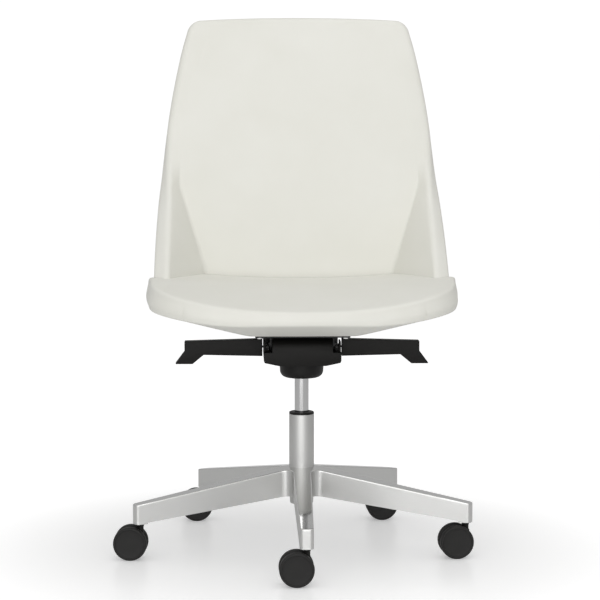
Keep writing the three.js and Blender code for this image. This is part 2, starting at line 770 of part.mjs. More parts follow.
// A knuckle round the pin and the strip on both sides of it.
function stripBody(inner) {
  const half = armStripThickness / 2;
  const low = leverY - armStripWidth / 2;
  const high = leverY + armStripWidth / 2;
  const strip = box(inner, armStripReach, low, high, leverPinZ - half, leverPinZ + half);
  const knuckle = alongY(
    cylinder(leverPinDiameter / 2 + knuckleWall, -armStripWidth / 2, armStripWidth / 2, plainSides),
    leverPinX, leverPinZ).translate(0, leverY, 0);
  return solid(strip).add(solid(knuckle)).subtract(solid(stripHole()));
}

function addLevers() {
  const low = leverY - leverDepth / 2;
  const high = leverY + leverDepth / 2;
  const half = armStripThickness / 2 + clearance;
  const lever = solid(pushedY(paddleOutline(), low, high)).subtract(solid(box(
    leverStart - 1, armStripReach + clearance, leverY - armStripWidth / 2 - clearance,
    leverY + armStripWidth / 2 + clearance, leverPinZ - half, leverPinZ + half,
  )));
  const touch = cylinderTop + buttonRise + clearance;
  const footHalf = releaseFootWidth / 2;
  const foot = box(-footHalf, footHalf, leverY - armStripWidth / 2, buttonDiameter / 2 + 2, touch,
    leverPinZ + armStripThickness / 2);
  const releaseArm = stripBody(-footHalf).add(solid(foot));
  add(chair, 'right_lever', lever, black);
  add(chair, 'release_arm', releaseArm, blackMetal);
  add(chair, 'left_lever', lever.mirror([1, 0, 0]), black);
  add(chair, 'lock_arm', stripBody(lockArmEnd).mirror([1, 0, 0]), blackMetal);
}

// ---------------------------------------------------------------- seat bracket
const screwX = bracketHalfWidth - screwSideInset;
const screwFrontY = -bracketHalfDepth + screwFrontInset;
const screwRearY = bracketHalfDepth - screwRearInset;
const screwPlaces = [
  ['seat_screw_front_left', -screwX, screwFrontY],
  ['seat_screw_front_right', screwX, screwFrontY],
  ['seat_screw_rear_left', -screwX, screwRearY],
  ['seat_screw_rear_right', screwX, screwRearY],
];

function screwBores(foot, top) {
  const bore = solid(cylinder(screwDiameter / 2 + clearance, foot, top, smallSides));
  return screwPlaces
    .map(([, x, y]) => bore.translate([x, y, 0]))
    .reduce((all, next) => all.add(next));
}

function addBracket() {
  const plate = box(-bracketHalfWidth, bracketHalfWidth, -bracketHalfDepth, bracketHalfDepth,
    bracketFoot, bracketTop);
  const flange = box(-housingHalfWidth, housingHalfWidth, bracketHalfDepth - bracketThickness,
    bracketHalfDepth, bracketTop - flangeHeight, bracketTop);
  let bracket = solid(plate).add(solid(flange));
  for (const side of [-1, 1]) {
    const earOutside = earInside + earThickness;
    const [a, b] = side > 0 ? [earInside, earOutside] : [-earOutside, -earInside];
    const round = alongX(cylinder(earRadius, a, b, 20), tiltAxleY, tiltAxleZ);
    const root = box(a, b, tiltAxleY - earRadius, tiltAxleY + earRadius, tiltAxleZ, bracketFoot + 1);
    bracket = bracket.add(solid(round)).add(solid(root));
  }
  const bore = alongX(
    cylinder(tiltAxleDiameter / 2 + clearance, -housingHalfWidth, housingHalfWidth, plainSides),
    tiltAxleY, tiltAxleZ);
  bracket = bracket.subtract(solid(bore)).subtract(screwBores(bracketFoot - 1, bracketTop + 1));
  add(chair, 'seat_bracket', bracket, blackMetal);

  const headTop = bracketFoot - clearance;
  const tip = bellyZ + coreTop - screwTipInset;
  for (const [name, x, y] of screwPlaces) {
    const screw = turned([
      [0, headTop - screwHeadHeight], [screwHeadDiameter / 2, headTop - screwHeadHeight],
      [screwHeadDiameter / 2, headTop], [screwDiameter / 2, headTop],
      [screwDiameter / 2, tip], [0, tip],
    ], smallSides).translate(x, y, 0);
    add(chair, name, screw, steel);
  }
}

// ---------------------------------------------------------------- shell surfaces
const ramp = (value) => Math.max(0, value);
const softRamp = (value) => wingBlend * Math.log1p(Math.exp(value / wingBlend));
const smooth = (value) => THREE.MathUtils.smoothstep(value, 0, 1);

function backY(z) {
  const h = ramp(z - seatLine);
  return backFootY + backLean * h + backCurve * h * h;
}

// Half the shell's outline at a height, before the top corners are rounded.
function outlineHalf(z) {
  const h = ramp(z - wingFootZ) / (shellTop - wingFootZ);
  return footHalfWidth - (footHalfWidth - topHalfWidth) * h ** outlinePower;
}

// How far a face has sunk at a distance from an edge of the given radius.
function sunk(distance, radius) {
  return distance >= radius ? 0 : radius - Math.sqrt(radius ** 2 - (radius - distance) ** 2);
}

// The face is cut into columns and rows at these distances in from its edge; the last lies beyond it.
const edgeSteps = [coreInset, roomInset, rimFrontRadius / 3, 0, -2 * clearance];
const topSteps = edgeSteps.filter((step) => step >= 0);
const underCorner = shellTop - topCornerRadius - 3;
const lowHeights = [
  ...upperShares.map((share) => THREE.MathUtils.lerp(wingApexZ, underCorner, share)),
  ...lowerShares.map((share) => THREE.MathUtils.lerp(wingApexZ, wingFootZ, share)),
  backFoot,
];

// The face of the back pad and its wings at one height: points from the middle out past the edge,
// which stands in from the outline by what the wall's thickness takes up beyond it.
function backRow(height, standIn) {
  const z = Math.max(height, wingFootZ);
  const y = backY(height);
  const half = outlineHalf(z) - sunk(shellTop - height, topCornerRadius) - standIn;
  const slope = (backY(wingFootZ) - wingFootY) / (wingApexZ - wingFootZ);
  const forward = slope * softRamp(wingApexZ - z);
  const creaseLine = THREE.MathUtils.mapLinear(z, wingFootZ, wingApexZ, creaseFootX, creaseApexX);
  const creaseX = Math.min(creaseLine, outlineHalf(z) - shellDepth - rimFrontRadius / 3);
  const crease = new THREE.Vector2(creaseX, y - backSag);
  const reach = new THREE.Vector2(half, y - backSag - forward);
  const along = reach.clone().sub(crease).normalize();
  const length = reach.distanceTo(crease) - coreInset;
  const round = Math.min(creaseRound, length / 4);
  const points = [];
  for (const share of [0, 0.25, 0.5, 0.75, 1]) {
    const x = share * (crease.x - round);
    points.push(new THREE.Vector2(x, y - backSag * (x / crease.x) ** 2));
  }
  const turnOut = crease.clone().addScaledVector(along, round);
  points.push(points[4].clone().add(turnOut).multiplyScalar(0.25).addScaledVector(crease, 0.5));
  points.push(turnOut);
  points.push(crease.clone().addScaledVector(along, (length + round) / 2));
  for (const step of edgeSteps) points.push(reach.clone().addScaledVector(along, -step));
  return points;
}

// How far the top edge has fallen towards its corners; the fall dies out lower down the back.
function crownAt(x, height) {
  const fade = smooth(1 - (shellTop - height) / crownDepth);
  return topCrown * (x / topHalfWidth) ** 2 * fade;
}

// Both halves of a row, and the outward normals of a whole grid.
function mirrored(row) {
  const left = row.slice(1).reverse().map((p) => new THREE.Vector3(-p.x, p.y, p.z));
  return [...left, ...row];
}

function normalsOf(grid) {
  const rows = grid.length;
  const columns = grid[0].length;
  return grid.map((row, i) => row.map((unused, j) => {
    const across = grid[i][Math.min(j + 1, columns - 1)].clone().sub(grid[i][Math.max(j - 1, 0)]);
    const down = grid[Math.min(i + 1, rows - 1)][j].clone().sub(grid[Math.max(i - 1, 0)][j]);
    return down.cross(across).normalize();
  }));
}

// Normals evened out from row to row, so that layers set back along them keep clear of themselves.
function evened(normals) {
  const last = normals.length - 1;
  const once = (grid) => grid.map((row, i) => row.map((normal, j) => normal.clone().multiplyScalar(2)
    .add(grid[Math.max(i - 1, 0)][j]).add(grid[Math.min(i + 1, last)][j]).normalize()));
  return once(once(once(normals)));
}

const faceHeights = [...[...topSteps].reverse().map((step) => shellTop - step), ...lowHeights];
const faceEdge = backRow(shellTop, 0).length - 1 - edgeSteps.length + edgeSteps.indexOf(0) + 1;

function faceWith(standIns) {
  return faceHeights.map((height, i) => mirrored(backRow(height, standIns[i]).map((p) =>
    new THREE.Vector3(p.x, p.y, height - crownAt(p.x, height)))));
}

// How far the rim reaches out beyond the edge of the face in each row.
function rimReach(normals) {
  return normals.map((row) => {
    const outward = -row[(row.length - 1) / 2 + faceEdge].x;
    const forward = Math.sqrt(1 - outward ** 2);
    return outward * (shellDepth - rimRearRadius) + rimRearRadius * (1 - forward);
  });
}

let standIns = faceHeights.map(() => 0);
for (let round = 0; round < 12; round += 1) {
  const reached = rimReach(evened(normalsOf(faceWith(standIns))));
  standIns = standIns.map((standIn, i) => (standIn + reached[i]) / 2);
}
const face = faceWith(standIns);
const faceNormals = evened(normalsOf(face));

// The part of a grid of the face that ends at one of the steps in from its edge.
function within(step, grid) {
  const spare = edgeSteps.length - 1 - edgeSteps.indexOf(step);
  const firstRow = step < 0 ? topSteps.length : topSteps.length - 1 - topSteps.indexOf(step);
  return grid.slice(firstRow).map((row) => row.slice(spare, row.length - spare));
}

// The face out to a step, moved away from the sitter by a depth that each point can set.
function faceBehind(step, depthAt) {
  const normals = within(step, faceNormals);
  return within(step, face).map((row, i) =>
    row.map((p, j) => p.clone().addScaledVector(normals[i][j], -depthAt(i, j))));
}

// ---------------------------------------------------------------- seat surfaces
function belly(x, y) {
  const side = bellySideSlope * ramp(Math.abs(x) - bellyHalfWidth);
  const front = bellyFrontSlope * ramp(bellyFront - y);
  const rear = ramp(y - bellyRear) ** 2 / (2 * bellyRearRadius);
  return bellyZ + Math.hypot(side, front, rear);
}

function padTop(x, y) {
  const fall = ramp((seatWaterfallStart - y) / seatWaterfallLength) ** seatWaterfallPower;
  return seatTop - seatWaterfall * fall + seatDish * (x / seatHalfWidth) ** 2;
}

// The seat's outline in plan: a turn of 0 degrees is the side, 90 degrees the middle of the front.
function seatOutline(turn, inset) {
  const angle = THREE.MathUtils.degToRad(turn);
  return new THREE.Vector2(
    (seatHalfWidth - inset) * Math.cos(angle) ** (2 / seatSidePower),
    seatCornerStart - (seatNoseLength - inset) * Math.sin(angle) ** (2 / seatNosePower),
  );
}

function sideLine(start, lean, inset) {
  const end = seatOutline(0, inset);
  const bend = new THREE.CubicBezierCurve(
    start, start.clone().add(lean), end.clone().add(new THREE.Vector2(0, 45)), end);
  return (t) => {
    const joint = 0.35;
    if (t < joint) return bend.getPoint(t / joint);
    return seatOutline(((t - joint) / (1 - joint)) * seatCornerTurn, inset);
  };
}

// A patch of the plan between a rear line, the side and the front.
function planPatch(rear, side, inset) {
  const last = rear.length - 1;
  const lengths = [0];
  for (let j = 1; j <= last; j += 1) lengths.push(lengths[j - 1] + rear[j].distanceTo(rear[j - 1]));
  const front = lengths.map((length) => {
    const w = length / lengths[last];
    return seatOutline(90 - (90 - seatCornerTurn) * w, inset);
  });
  return (j, m) => {
    const w = lengths[j] / lengths[last];
    const point = rear[j].clone().multiplyScalar(1 - m).addScaledVector(front[j], m);
    const middle = new THREE.Vector2(0, THREE.MathUtils.lerp(rear[0].y, front[0].y, m));
    point.addScaledVector(middle, 1 - w).addScaledVector(side(m), w);
    point.addScaledVector(rear[0], -(1 - w) * (1 - m)).addScaledVector(rear[last], -w * (1 - m));
    point.addScaledVector(front[0], -(1 - w) * m).addScaledVector(front[last], -w * m);
    return point;
  };
}

// The rows of a wall carried straight down to a height over the underside.
function withFoot(rows, lift) {
  const foot = rows.at(-1).map((p) => new THREE.Vector3(p.x, p.y, belly(p.x, p.y) + lift));
  return [...rows, foot];
}

// A layer of the back and its wings between two depths behind the pad's face, with its foot let into
// the seat plate of the same layer.
function wallLayer(step, from, to, footLift) {
  const at = (depth) => withFoot(faceBehind(step, () => depth), footLift);
  return solid(slab(at(from), at(to)));
}

// The right half of the foot of the wall at a depth, in plan.
function footLine(step, depth) {
  const row = faceBehind(step, () => depth).at(-1);
  return row.slice((row.length - 1) / 2).map((p) => new THREE.Vector2(p.x, p.y));
}

// A layer of the seat plate between two heights over the underside: its rear rows lie under the wall
// at the depths given, and the rest run forward from the last of them.
function plateLayer(step, depths, low, high) {
  const rearLines = depths.map((depth) => footLine(step, depth));
  const rear = footLine(step, coreTo);
  const side = sideLine(rear.at(-1), new THREE.Vector2(8, -20), step);
  const patch = planPatch(rear, side, step);
  const lines = [...rearLines, rear];
  for (const m of [0.1, 0.25, 0.45, 0.65, 0.82, 1]) lines.push(rear.map((unused, j) => patch(j, m)));
  const raised = (lift) => lines.map((line) => mirrored(
    line.map((p) => new THREE.Vector3(p.x, p.y, belly(p.x, p.y) + lift))));
  return solid(slab(raised(high), raised(low)));
}

function addShell() {
  const screwRoom = screwBores(bellyZ - 20, bellyZ + shellDepth);
  const innerShell = wallLayer(coreInset, coreFrom, coreTo, coreFoot + coreThickness / 2)
    .add(plateLayer(coreInset, [], coreFoot, coreTop));
  const cover = wallLayer(coreInset, coverFrom, shellDepth, coverThickness / 2)
    .add(plateLayer(coreInset, [shellDepth, coverFrom], 0, coverThickness));
  add(chair, 'inner_shell', innerShell.subtract(screwRoom), shellBoard);
  add(chair, 'shell_cover', cover.subtract(screwRoom), cream);

  const beyond = 2 * shellDepth; // far enough to cut right out of a pad
  const wallRoom = wallLayer(roomInset, coreFrom - 2 * clearance, beyond, 0);
  const plateRoom = plateLayer(roomInset, [beyond, shellDepth], -beyond, coreTop + 2 * clearance);
  const room = wallRoom.add(plateRoom);

  const pad = (depthAt) => {
    const rows = faceBehind(0, depthAt);
    const seam = topSteps.length - 1;
    const trimmed = rows.filter((unused, i) => i !== seam);
    return trimmed.map((row) => row.filter((unused, j) => j !== seam && j !== row.length - 1 - seam));
  };
  const last = within(0, face)[0].length - 1;
  const edgeDistance = (i, j) => topSteps.at(-1 - Math.min(j, last - j, i)) ?? coreInset;
  const padFront = pad((i, j) => sunk(edgeDistance(i, j), rimFrontRadius));
  const padRear = pad((i, j) => shellDepth - sunk(edgeDistance(i, j), rimRearRadius));
  const backPad = solid(slab(withFoot(padFront, 1), withFoot(padRear, 1)));
  add(chair, 'back_upholstery', biggest(backPad.subtract(room)), cream);
  addSeatPad(room);
}

function addSeatPad(inside) {
  const rear = footLine(0, 0).map((p) => p.clone().add(new THREE.Vector2(0, -1)));
  const side = sideLine(rear.at(-1), new THREE.Vector2(44, 22), 0);
  const patch = planPatch(rear, side, 0);
  const columns = rear.length;
  const steps = [0, 0.3, 1].map((share) => share * seatRollRadius);
  const rows = [];
  const ends = [0, 0.04, 0.12, 0.25, 0.42, 0.6, 0.76, 1];
  const front = seatNoseLength - seatCornerStart + backFootY;
  const shares = [...ends.slice(0, -1), ...[...steps].reverse().map((step) => 1 - step / front)];
  for (const m of shares) {
    const row = [];
    for (let j = 0; j < columns - 1; j += 1) row.push({ p: patch(j, m), j, m });
    const outer = patch(columns - 1, m);
    const before = row[row.length - 1].p;
    const span = outer.distanceTo(before);
    for (const step of [steps[2], steps[1], steps[0]]) {
      const p = outer.clone().lerp(before, Math.min(step / span, 0.9));
      row.push({ p, m });
    }
    rows.push(row);
  }
  const lastColumn = rows[0].length - 1;
  const top = rows.map((row, i) => row.map(({ p }, j) => {
    const fromSide = lastColumn - j;
    const fromFront = rows.length - 1 - i;
    const nearest = Math.min(fromSide, fromFront);
    const distance = nearest < 3 ? steps[nearest] : Infinity;
    return new THREE.Vector3(p.x, p.y, padTop(p.x, p.y) - sunk(distance, seatRollRadius));
  }));
  const foot = rows.map((row, i) => row.map(({ p }, j) => {
    const nearest = Math.min(lastColumn - j, rows.length - 1 - i);
    const distance = nearest < 3 ? steps[nearest] : Infinity;
    return new THREE.Vector3(p.x, p.y, belly(p.x, p.y) + sunk(distance, seatFootRadius));
  }));
  const pad = solid(slab(top.map(mirrored), foot.map(mirrored)));
  const backRoom = wallLayer(-2 * clearance, -2 * clearance, shellDepth, 0);
  add(chair, 'seat_upholstery', biggest(pad.subtract(inside).subtract(backRoom)), cream);
}

addBase();
addColumn();
addMechanism();
addLevers();
addBracket();
addShell();

// The frame's origin lies on the floor, under the middle of the whole chair.
const middle = new THREE.Box3().setFromObject(chair, true).getCenter(new THREE.Vector3());
chair.position.set(-middle.x, -middle.y, 0);

export default chair;
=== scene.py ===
import bpy
import bmesh
import math
from mathutils import Vector, Matrix


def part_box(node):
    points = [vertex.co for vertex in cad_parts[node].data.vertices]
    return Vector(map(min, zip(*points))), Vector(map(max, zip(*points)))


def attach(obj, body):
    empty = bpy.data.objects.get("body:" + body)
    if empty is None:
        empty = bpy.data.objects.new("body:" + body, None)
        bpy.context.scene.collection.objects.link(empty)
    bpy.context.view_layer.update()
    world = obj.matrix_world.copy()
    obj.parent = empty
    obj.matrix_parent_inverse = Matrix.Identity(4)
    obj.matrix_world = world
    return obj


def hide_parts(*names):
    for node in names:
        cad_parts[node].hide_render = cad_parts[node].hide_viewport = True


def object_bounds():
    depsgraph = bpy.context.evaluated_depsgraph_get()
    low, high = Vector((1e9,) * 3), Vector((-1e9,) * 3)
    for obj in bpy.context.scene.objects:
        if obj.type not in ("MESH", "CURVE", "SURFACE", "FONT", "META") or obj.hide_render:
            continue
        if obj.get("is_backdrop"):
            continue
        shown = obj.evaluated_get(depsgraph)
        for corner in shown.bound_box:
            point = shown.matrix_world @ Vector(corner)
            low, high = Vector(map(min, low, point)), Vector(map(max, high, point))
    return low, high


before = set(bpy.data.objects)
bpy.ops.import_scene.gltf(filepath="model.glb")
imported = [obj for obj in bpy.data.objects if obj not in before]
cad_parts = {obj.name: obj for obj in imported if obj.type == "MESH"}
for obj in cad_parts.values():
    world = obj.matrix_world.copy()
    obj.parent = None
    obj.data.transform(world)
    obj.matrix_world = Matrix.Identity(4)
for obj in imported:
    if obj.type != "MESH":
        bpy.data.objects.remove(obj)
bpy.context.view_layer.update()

# -------------------------------------------------------- camera
# A long lens a little over four metres in front of the column, at about the height of the back,
# looking slightly down on the chair.
look_down, swing = 6.009, -1.6
stand = Vector((-0.0032, -4.299, 0.9537))
tube_low, tube_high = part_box("column_tube")
axis = Vector(((tube_low.x + tube_high.x) / 2, (tube_low.y + tube_high.y) / 2, 0))
camera_data = bpy.data.cameras.new("camera")
camera_data.lens = 129.76
camera_data.sensor_width = 36
camera_data.clip_end = 100
camera = bpy.data.objects.new("camera", camera_data)
bpy.context.scene.collection.objects.link(camera)
pitch = Matrix.Rotation(math.radians(90 - look_down), 4, "X")
turn = Matrix.Rotation(math.radians(swing), 4, "Z")
camera.matrix_world = Matrix.Translation(axis) @ turn @ Matrix.Translation(stand) @ pitch
bpy.context.scene.camera = camera

# -------------------------------------------------------- studio
# A plain white room with one very broad soft box in front and a smaller one overhead, over a white
# floor with a faint gloss and a painted glow that is weaker near the chair as painted shade round
# it.
floor_tone, floor_roughness = 0.8, 0.3
# Painted light on the floor: a faint glow that lights the chair, and a stronger glow where it is
# seen, weaker near the chair as painted shade and stronger further off.
painted_bounce_glow, painted_glow_near_chair, painted_glow_away = 0.1, 0.31, 0.58
near_reach, open_reach = 0.35, 0.95
backdrop_white = 1.04


def set_inputs(node, **values):
    """Sets a node's inputs; an underscore stands for a space in an input's name."""
    for key, value in values.items():
        node.inputs[key.replace("_", " ")].default_value = value
    return node


bpy.ops.object.select_all(action="DESELECT")
bpy.ops.mesh.primitive_plane_add(size=60, location=(0, 0, 0))
floor = bpy.context.object
floor.name = "floor"
paint = bpy.data.materials.new("floor_white")
paint.use_nodes = True
nodes, links = paint.node_tree.nodes, paint.node_tree.links
shader = set_inputs(nodes["Principled BSDF"], Base_Color=(floor_tone, floor_tone, floor_tone, 1),
                    Roughness=floor_roughness, Emission_Color=(1, 1, 1, 1))
# Painted light: the floor glows faintly for light that reaches the chair and more where the camera
# sees it, with the seen glow weaker near the chair as painted shade.
rays = nodes.new("ShaderNodeLightPath")
lit = set_inputs(nodes.new("ShaderNodeMapRange"), To_Min=painted_bounce_glow)
spot = nodes.new("ShaderNodeTexCoord")
reach = nodes.new("ShaderNodeVectorMath")
reach.operation = "LENGTH"
links.new(spot.outputs["Object"], reach.inputs[0])
open_floor = set_inputs(nodes.new("ShaderNodeMapRange"), From_Min=near_reach,
                        From_Max=open_reach, To_Min=painted_glow_near_chair, To_Max=painted_glow_away)
open_floor.interpolation_type = "SMOOTHSTEP"
links.new(reach.outputs["Value"], open_floor.inputs["Value"])
links.new(open_floor.outputs[0], lit.inputs["To Max"])
links.new(rays.outputs["Is Camera Ray"], lit.inputs["Value"])
links.new(lit.outputs[0], shader.inputs["Emission Strength"])
floor.data.materials.append(paint)
floor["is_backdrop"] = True


def soft_box(name, place, aim, width, height, power):
    """A soft light at a place, turned towards a point."""
    light = bpy.data.lights.new(name, "AREA")
    light.shape = "RECTANGLE"
    light.size = width
    light.size_y = height
    light.energy = power
    lamp = bpy.data.objects.new(name, light)
    bpy.context.scene.collection.objects.link(lamp)
    lamp.location = place
    lamp.rotation_euler = (Vector(aim) - Vector(place)).to_track_quat("-Z", "Y").to_euler()


lit_point = (0, 0, 0.6)
soft_box("front_box", (-0.6, -5.6, 1.8), lit_point, width=5.6, height=3.4, power=142)
soft_box("top_box", (0.3, -0.4, 3.6), lit_point, width=2.4, height=2.4, power=18.5)

# The room lights the chair a little less from behind and more from overhead, and is plain white
# where it is seen past the chair.
world = bpy.data.worlds.new("sweep")
bpy.context.scene.world = world
world.use_nodes = True
nodes, links = world.node_tree.nodes, world.node_tree.links
direction = nodes.new("ShaderNodeTexCoord")
split = nodes.new("ShaderNodeSeparateXYZ")
links.new(direction.outputs["Generated"], split.inputs[0])


def by_direction(component, start, end, before, after):
    """The room's brightness as one component of a direction grows."""
    change = set_inputs(nodes.new("ShaderNodeMapRange"), From_Min=start, From_Max=end,
                        To_Min=before, To_Max=after)
    change.interpolation_type = "SMOOTHSTEP"
    links.new(split.outputs[component], change.inputs["Value"])
    return change.outputs[0]


brighter = nodes.new("ShaderNodeMath")
brighter.operation = "MAXIMUM"
links.new(by_direction("Y", 0.3, 0.8, before=0.54, after=0.43), brighter.inputs[0])
links.new(by_direction("Z", 0.55, 0.9, before=0.43, after=0.65), brighter.inputs[1])
seen = nodes.new("ShaderNodeLightPath")
choice = set_inputs(nodes.new("ShaderNodeMix"), B=backdrop_white)
links.new(seen.outputs["Is Camera Ray"], choice.inputs["Factor"])
links.new(brighter.outputs[0], choice.inputs["A"])
links.new(choice.outputs["Result"], nodes["Background"].inputs["Strength"])
nodes["Background"].inputs["Color"].default_value = (1, 1, 1, 1)
bpy.context.scene.view_settings.view_transform = "Standard"

# -------------------------------------------------------- star base
# Five tapering arms cast in one piece of aluminium round the column, hollow underneath, with a
# level pad under each tip for the castor. The tops are polished bright and the sides left satin,
# in a darker colour that is painted shade.
mm = 0.001
arm_turn, arm_spacing = math.radians(-90), math.radians(72)
arm_reach = 350 * mm
arm_half_tip, arm_half_root = 13 * mm, 18 * mm
root_reach = 30 * mm
tip_top, root_top = 109 * mm, 164 * mm
tip_foot, root_foot = 71 * mm, 110 * mm
fillet = 18.7 * mm
tip_round = 7.5 * mm
bore_radius = 25.1 * mm
fillet_steps, tip_steps = 12, 7
pocket_spans = [(56, 140), (145, 228), (233, 316)]
pocket_wall, pocket_roof, pocket_overrun, pocket_round = 4 * mm, 8 * mm, 5 * mm, 2 * mm
tip_pad_length, tip_pad_height, tip_pad_gap = 25 * mm, 9 * mm, 0.2 * mm
polished_slope = 0.35
# The rings of its skin run from the foot of the outline over the eased top edge and down the bore:
# how far each is drawn in from the outline, and how far it lies below the flat top.
ring_insets = [0, 0, 0, 0.35, 1.0, 2.0, 2.5]
ring_drops = [0, 3.5, 1.9, 0.8, 0.25, 0, 0, 0, 0]
bore_rings, foot_rings = (7, 8), (0, 8)


def along_arm(reach, tip, root):
    """A measure that changes evenly from an arm's root to its tip."""
    return root + (tip - root) * (reach - root_reach) / (arm_reach - root_reach)


def alone(thing):
    """Only this object is selected and active, in object mode."""
    if bpy.context.mode != "OBJECT":
        bpy.ops.object.mode_set(mode="OBJECT")
    bpy.ops.object.select_all(action="DESELECT")
    thing.select_set(True)
    bpy.context.view_layer.objects.active = thing


def pick(piece, kind, test):
    """In edit mode, selects just the verts or faces whose middle and normal pass the test, or
    the edges whose two ends do."""
    alone(piece)
    bpy.ops.object.mode_set(mode="EDIT")
    bpy.ops.mesh.select_mode(type={"verts": "VERT", "edges": "EDGE", "faces": "FACE"}[kind])
    bpy.ops.mesh.select_all(action="DESELECT")
    mesh = bmesh.from_edit_mesh(piece.data)
    mesh.normal_update()
    for item in getattr(mesh, kind):
        if kind == "verts":
            passed = test(item.co, item.normal)
        elif kind == "edges":
            passed = test(item.verts[0].co, item.verts[1].co)
        else:
            passed = test(item.calc_center_median(), item.normal)
        item.select_set(passed)
    mesh.select_flush_mode()
    bmesh.update_edit_mesh(piece.data)


def edited(piece):
    """Back to object mode."""
    bpy.ops.object.mode_set(mode="OBJECT")
    return piece


def faced_out(piece):
    """Turns all the faces of a piece outwards."""
    pick(piece, "faces", lambda middle, normal: True)
    bpy.ops.mesh.normals_make_consistent(inside=False)
    return edited(piece)


def closed(piece, through):
    """Closes a skin of rings: joins its two open ends round a hole, or fills them."""
    mesh = bmesh.new()
    mesh.from_mesh(piece.data)
    ends = [edge for edge in mesh.edges if edge.is_boundary]
    if through:
        bmesh.ops.bridge_loops(mesh, edges=ends)
    else:
        bmesh.ops.holes_fill(mesh, edges=ends)
    mesh.to_mesh(piece.data)
    mesh.free()
    return faced_out(piece)


def joined(pieces):
    """Joins pieces into the first of them."""
    alone(pieces[0])
    for piece in pieces:
        piece.select_set(True)
    bpy.ops.object.join()
    return bpy.context.object


def applied(piece, kind, **settings):
    """Adds a modifier with its settings and applies it."""
    alone(piece)
    modifier = piece.modifiers.new(kind.lower(), kind)
    for key, value in settings.items():
        setattr(modifier, key, value)
    bpy.ops.object.modifier_apply(modifier=modifier.name)
    return piece


def bevelled(piece, width, segments=2, angle=30):
    """Rounds every edge that is sharper than an angle."""
    return applied(piece, "BEVEL", width=width, segments=segments, limit_method="ANGLE",
                   angle_limit=math.radians(angle), use_clamp_overlap=True)


def smoothed(piece, angle):
    """Smooth shading, kept crisp over edges sharper than an angle."""
    alone(piece)
    bpy.ops.object.shade_smooth_by_angle(angle=math.radians(angle))
    return piece


def settled(piece, name, body, slot, *materials, stands_for, about=axis):
    alone(piece)
    piece.name = name
    piece.data.name = name
    piece.location = piece.location + about
    bpy.ops.object.transform_apply(location=True, rotation=True, scale=True)
    piece.data.materials.clear()
    for material in materials:
        piece.data.materials.append(material)
    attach(piece, body)
    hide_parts(*stands_for)


def finish_of(name, color, roughness, metallic=0.0, **sockets):
    """A new principled material with its constants set on the shader, and its nodes to add to."""
    material = bpy.data.materials.new(name)
    material.use_nodes = True
    set_inputs(material.node_tree.nodes["Principled BSDF"], Base_Color=(*color, 1),
               Roughness=roughness, Metallic=metallic, **sockets)
    return material


def grained(material, scale, strength, distance, stretch=(1, 1, 1), detail=4.0, rough=None,
            tint=None):
    """Adds a fine bump from noise on object coordinates, and if asked a slow change of roughness
    between two values or of colour between two colours."""
    nodes, links = material.node_tree.nodes, material.node_tree.links
    shader = nodes["Principled BSDF"]
    place = nodes.new("ShaderNodeTexCoord")
    mapping = set_inputs(nodes.new("ShaderNodeMapping"), Scale=stretch)
    links.new(place.outputs["Object"], mapping.inputs["Vector"])
    noise = set_inputs(nodes.new("ShaderNodeTexNoise"), Scale=scale, Detail=detail)
    links.new(mapping.outputs["Vector"], noise.inputs["Vector"])
    bump = set_inputs(nodes.new("ShaderNodeBump"), Strength=strength, Distance=distance)
    links.new(noise.outputs["Fac"], bump.inputs["Height"])
    links.new(bump.outputs["Normal"], shader.inputs["Normal"])
    slow = set_inputs(nodes.new("ShaderNodeTexNoise"), Scale=9.0, Detail=3.0)
    links.new(place.outputs["Object"], slow.inputs["Vector"])
    if rough:
        spread = set_inputs(nodes.new("ShaderNodeMapRange"), To_Min=rough[0], To_Max=rough[1])
        links.new(slow.outputs["Fac"], spread.inputs["Value"])
        links.new(spread.outputs[0], shader.inputs["Roughness"])
    if tint:
        ramp = nodes.new("ShaderNodeValToRGB")
        for stop, position, color in zip(ramp.color_ramp.elements, (0.3, 0.7), tint):
            stop.position = position
            stop.color = (*color, 1)
        links.new(slow.outputs["Fac"], ramp.inputs["Fac"])
        links.new(ramp.outputs["Color"], shader.inputs["Base Color"])
    return material


# The sides' rougher satin finish is real; their darker aluminium colour against the tops is
# painted shade.
polished_top = grained(finish_of("polished_aluminium_top", (0.8, 0.8, 0.79), 0.07, 1.0),
                       120, 0.03, 0.0006, rough=(0.04, 0.1))
satin_painted_shade_side = grained(finish_of("satin_aluminium_side_with_painted_shade", (0.59, 0.59, 0.58), 0.38, 1.0),
                     90, 0.05, 0.0004, stretch=(1, 1, 14), rough=(0.34, 0.42))


def star_outline(inset):
    """The casting's outline in plan, drawn in by an inset."""
    points = []
    wall = math.atan2(arm_half_tip - arm_half_root, arm_reach - root_reach)
    half_gap = arm_spacing / 2
    spread = half_gap - wall
    meeting = (arm_half_root - root_reach * math.tan(wall)) * math.cos(wall) / math.sin(spread)
    centre = meeting + fillet / math.sin(spread)
    end = arm_reach - tip_round
    end_half = along_arm(end, arm_half_tip, arm_half_root) - tip_round / math.cos(wall)
    for arm in range(5):
        middle = arm_turn + arm * arm_spacing
        for side in (-1, 1):
            for step in range(tip_steps + 1):
                share = step / tip_steps if side > 0 else step / tip_steps - 1
                turn = share * (math.pi / 2 + wall)
                point = Vector((end + (tip_round - inset) * math.cos(turn),
                                side * end_half + (tip_round - inset) * math.sin(turn), 0))
                points.append(Matrix.Rotation(middle, 3, "Z") @ point)
        for step in range(fillet_steps + 1):
            sweep = (math.pi / 2 - spread) * (1 - 2 * step / fillet_steps)
            radius = fillet + inset
            point = Vector((centre - radius * math.cos(sweep), -radius * math.sin(sweep), 0))
            points.append(Matrix.Rotation(middle + half_gap, 3, "Z") @ point)
    return points


def arm_reach_of(point):
    """How far a point lies out along the arm that is nearest to it."""
    bearing = (math.atan2(point.y, point.x) - arm_turn) % arm_spacing
    return point.to_2d().length * math.cos(min(bearing, arm_spacing - bearing))


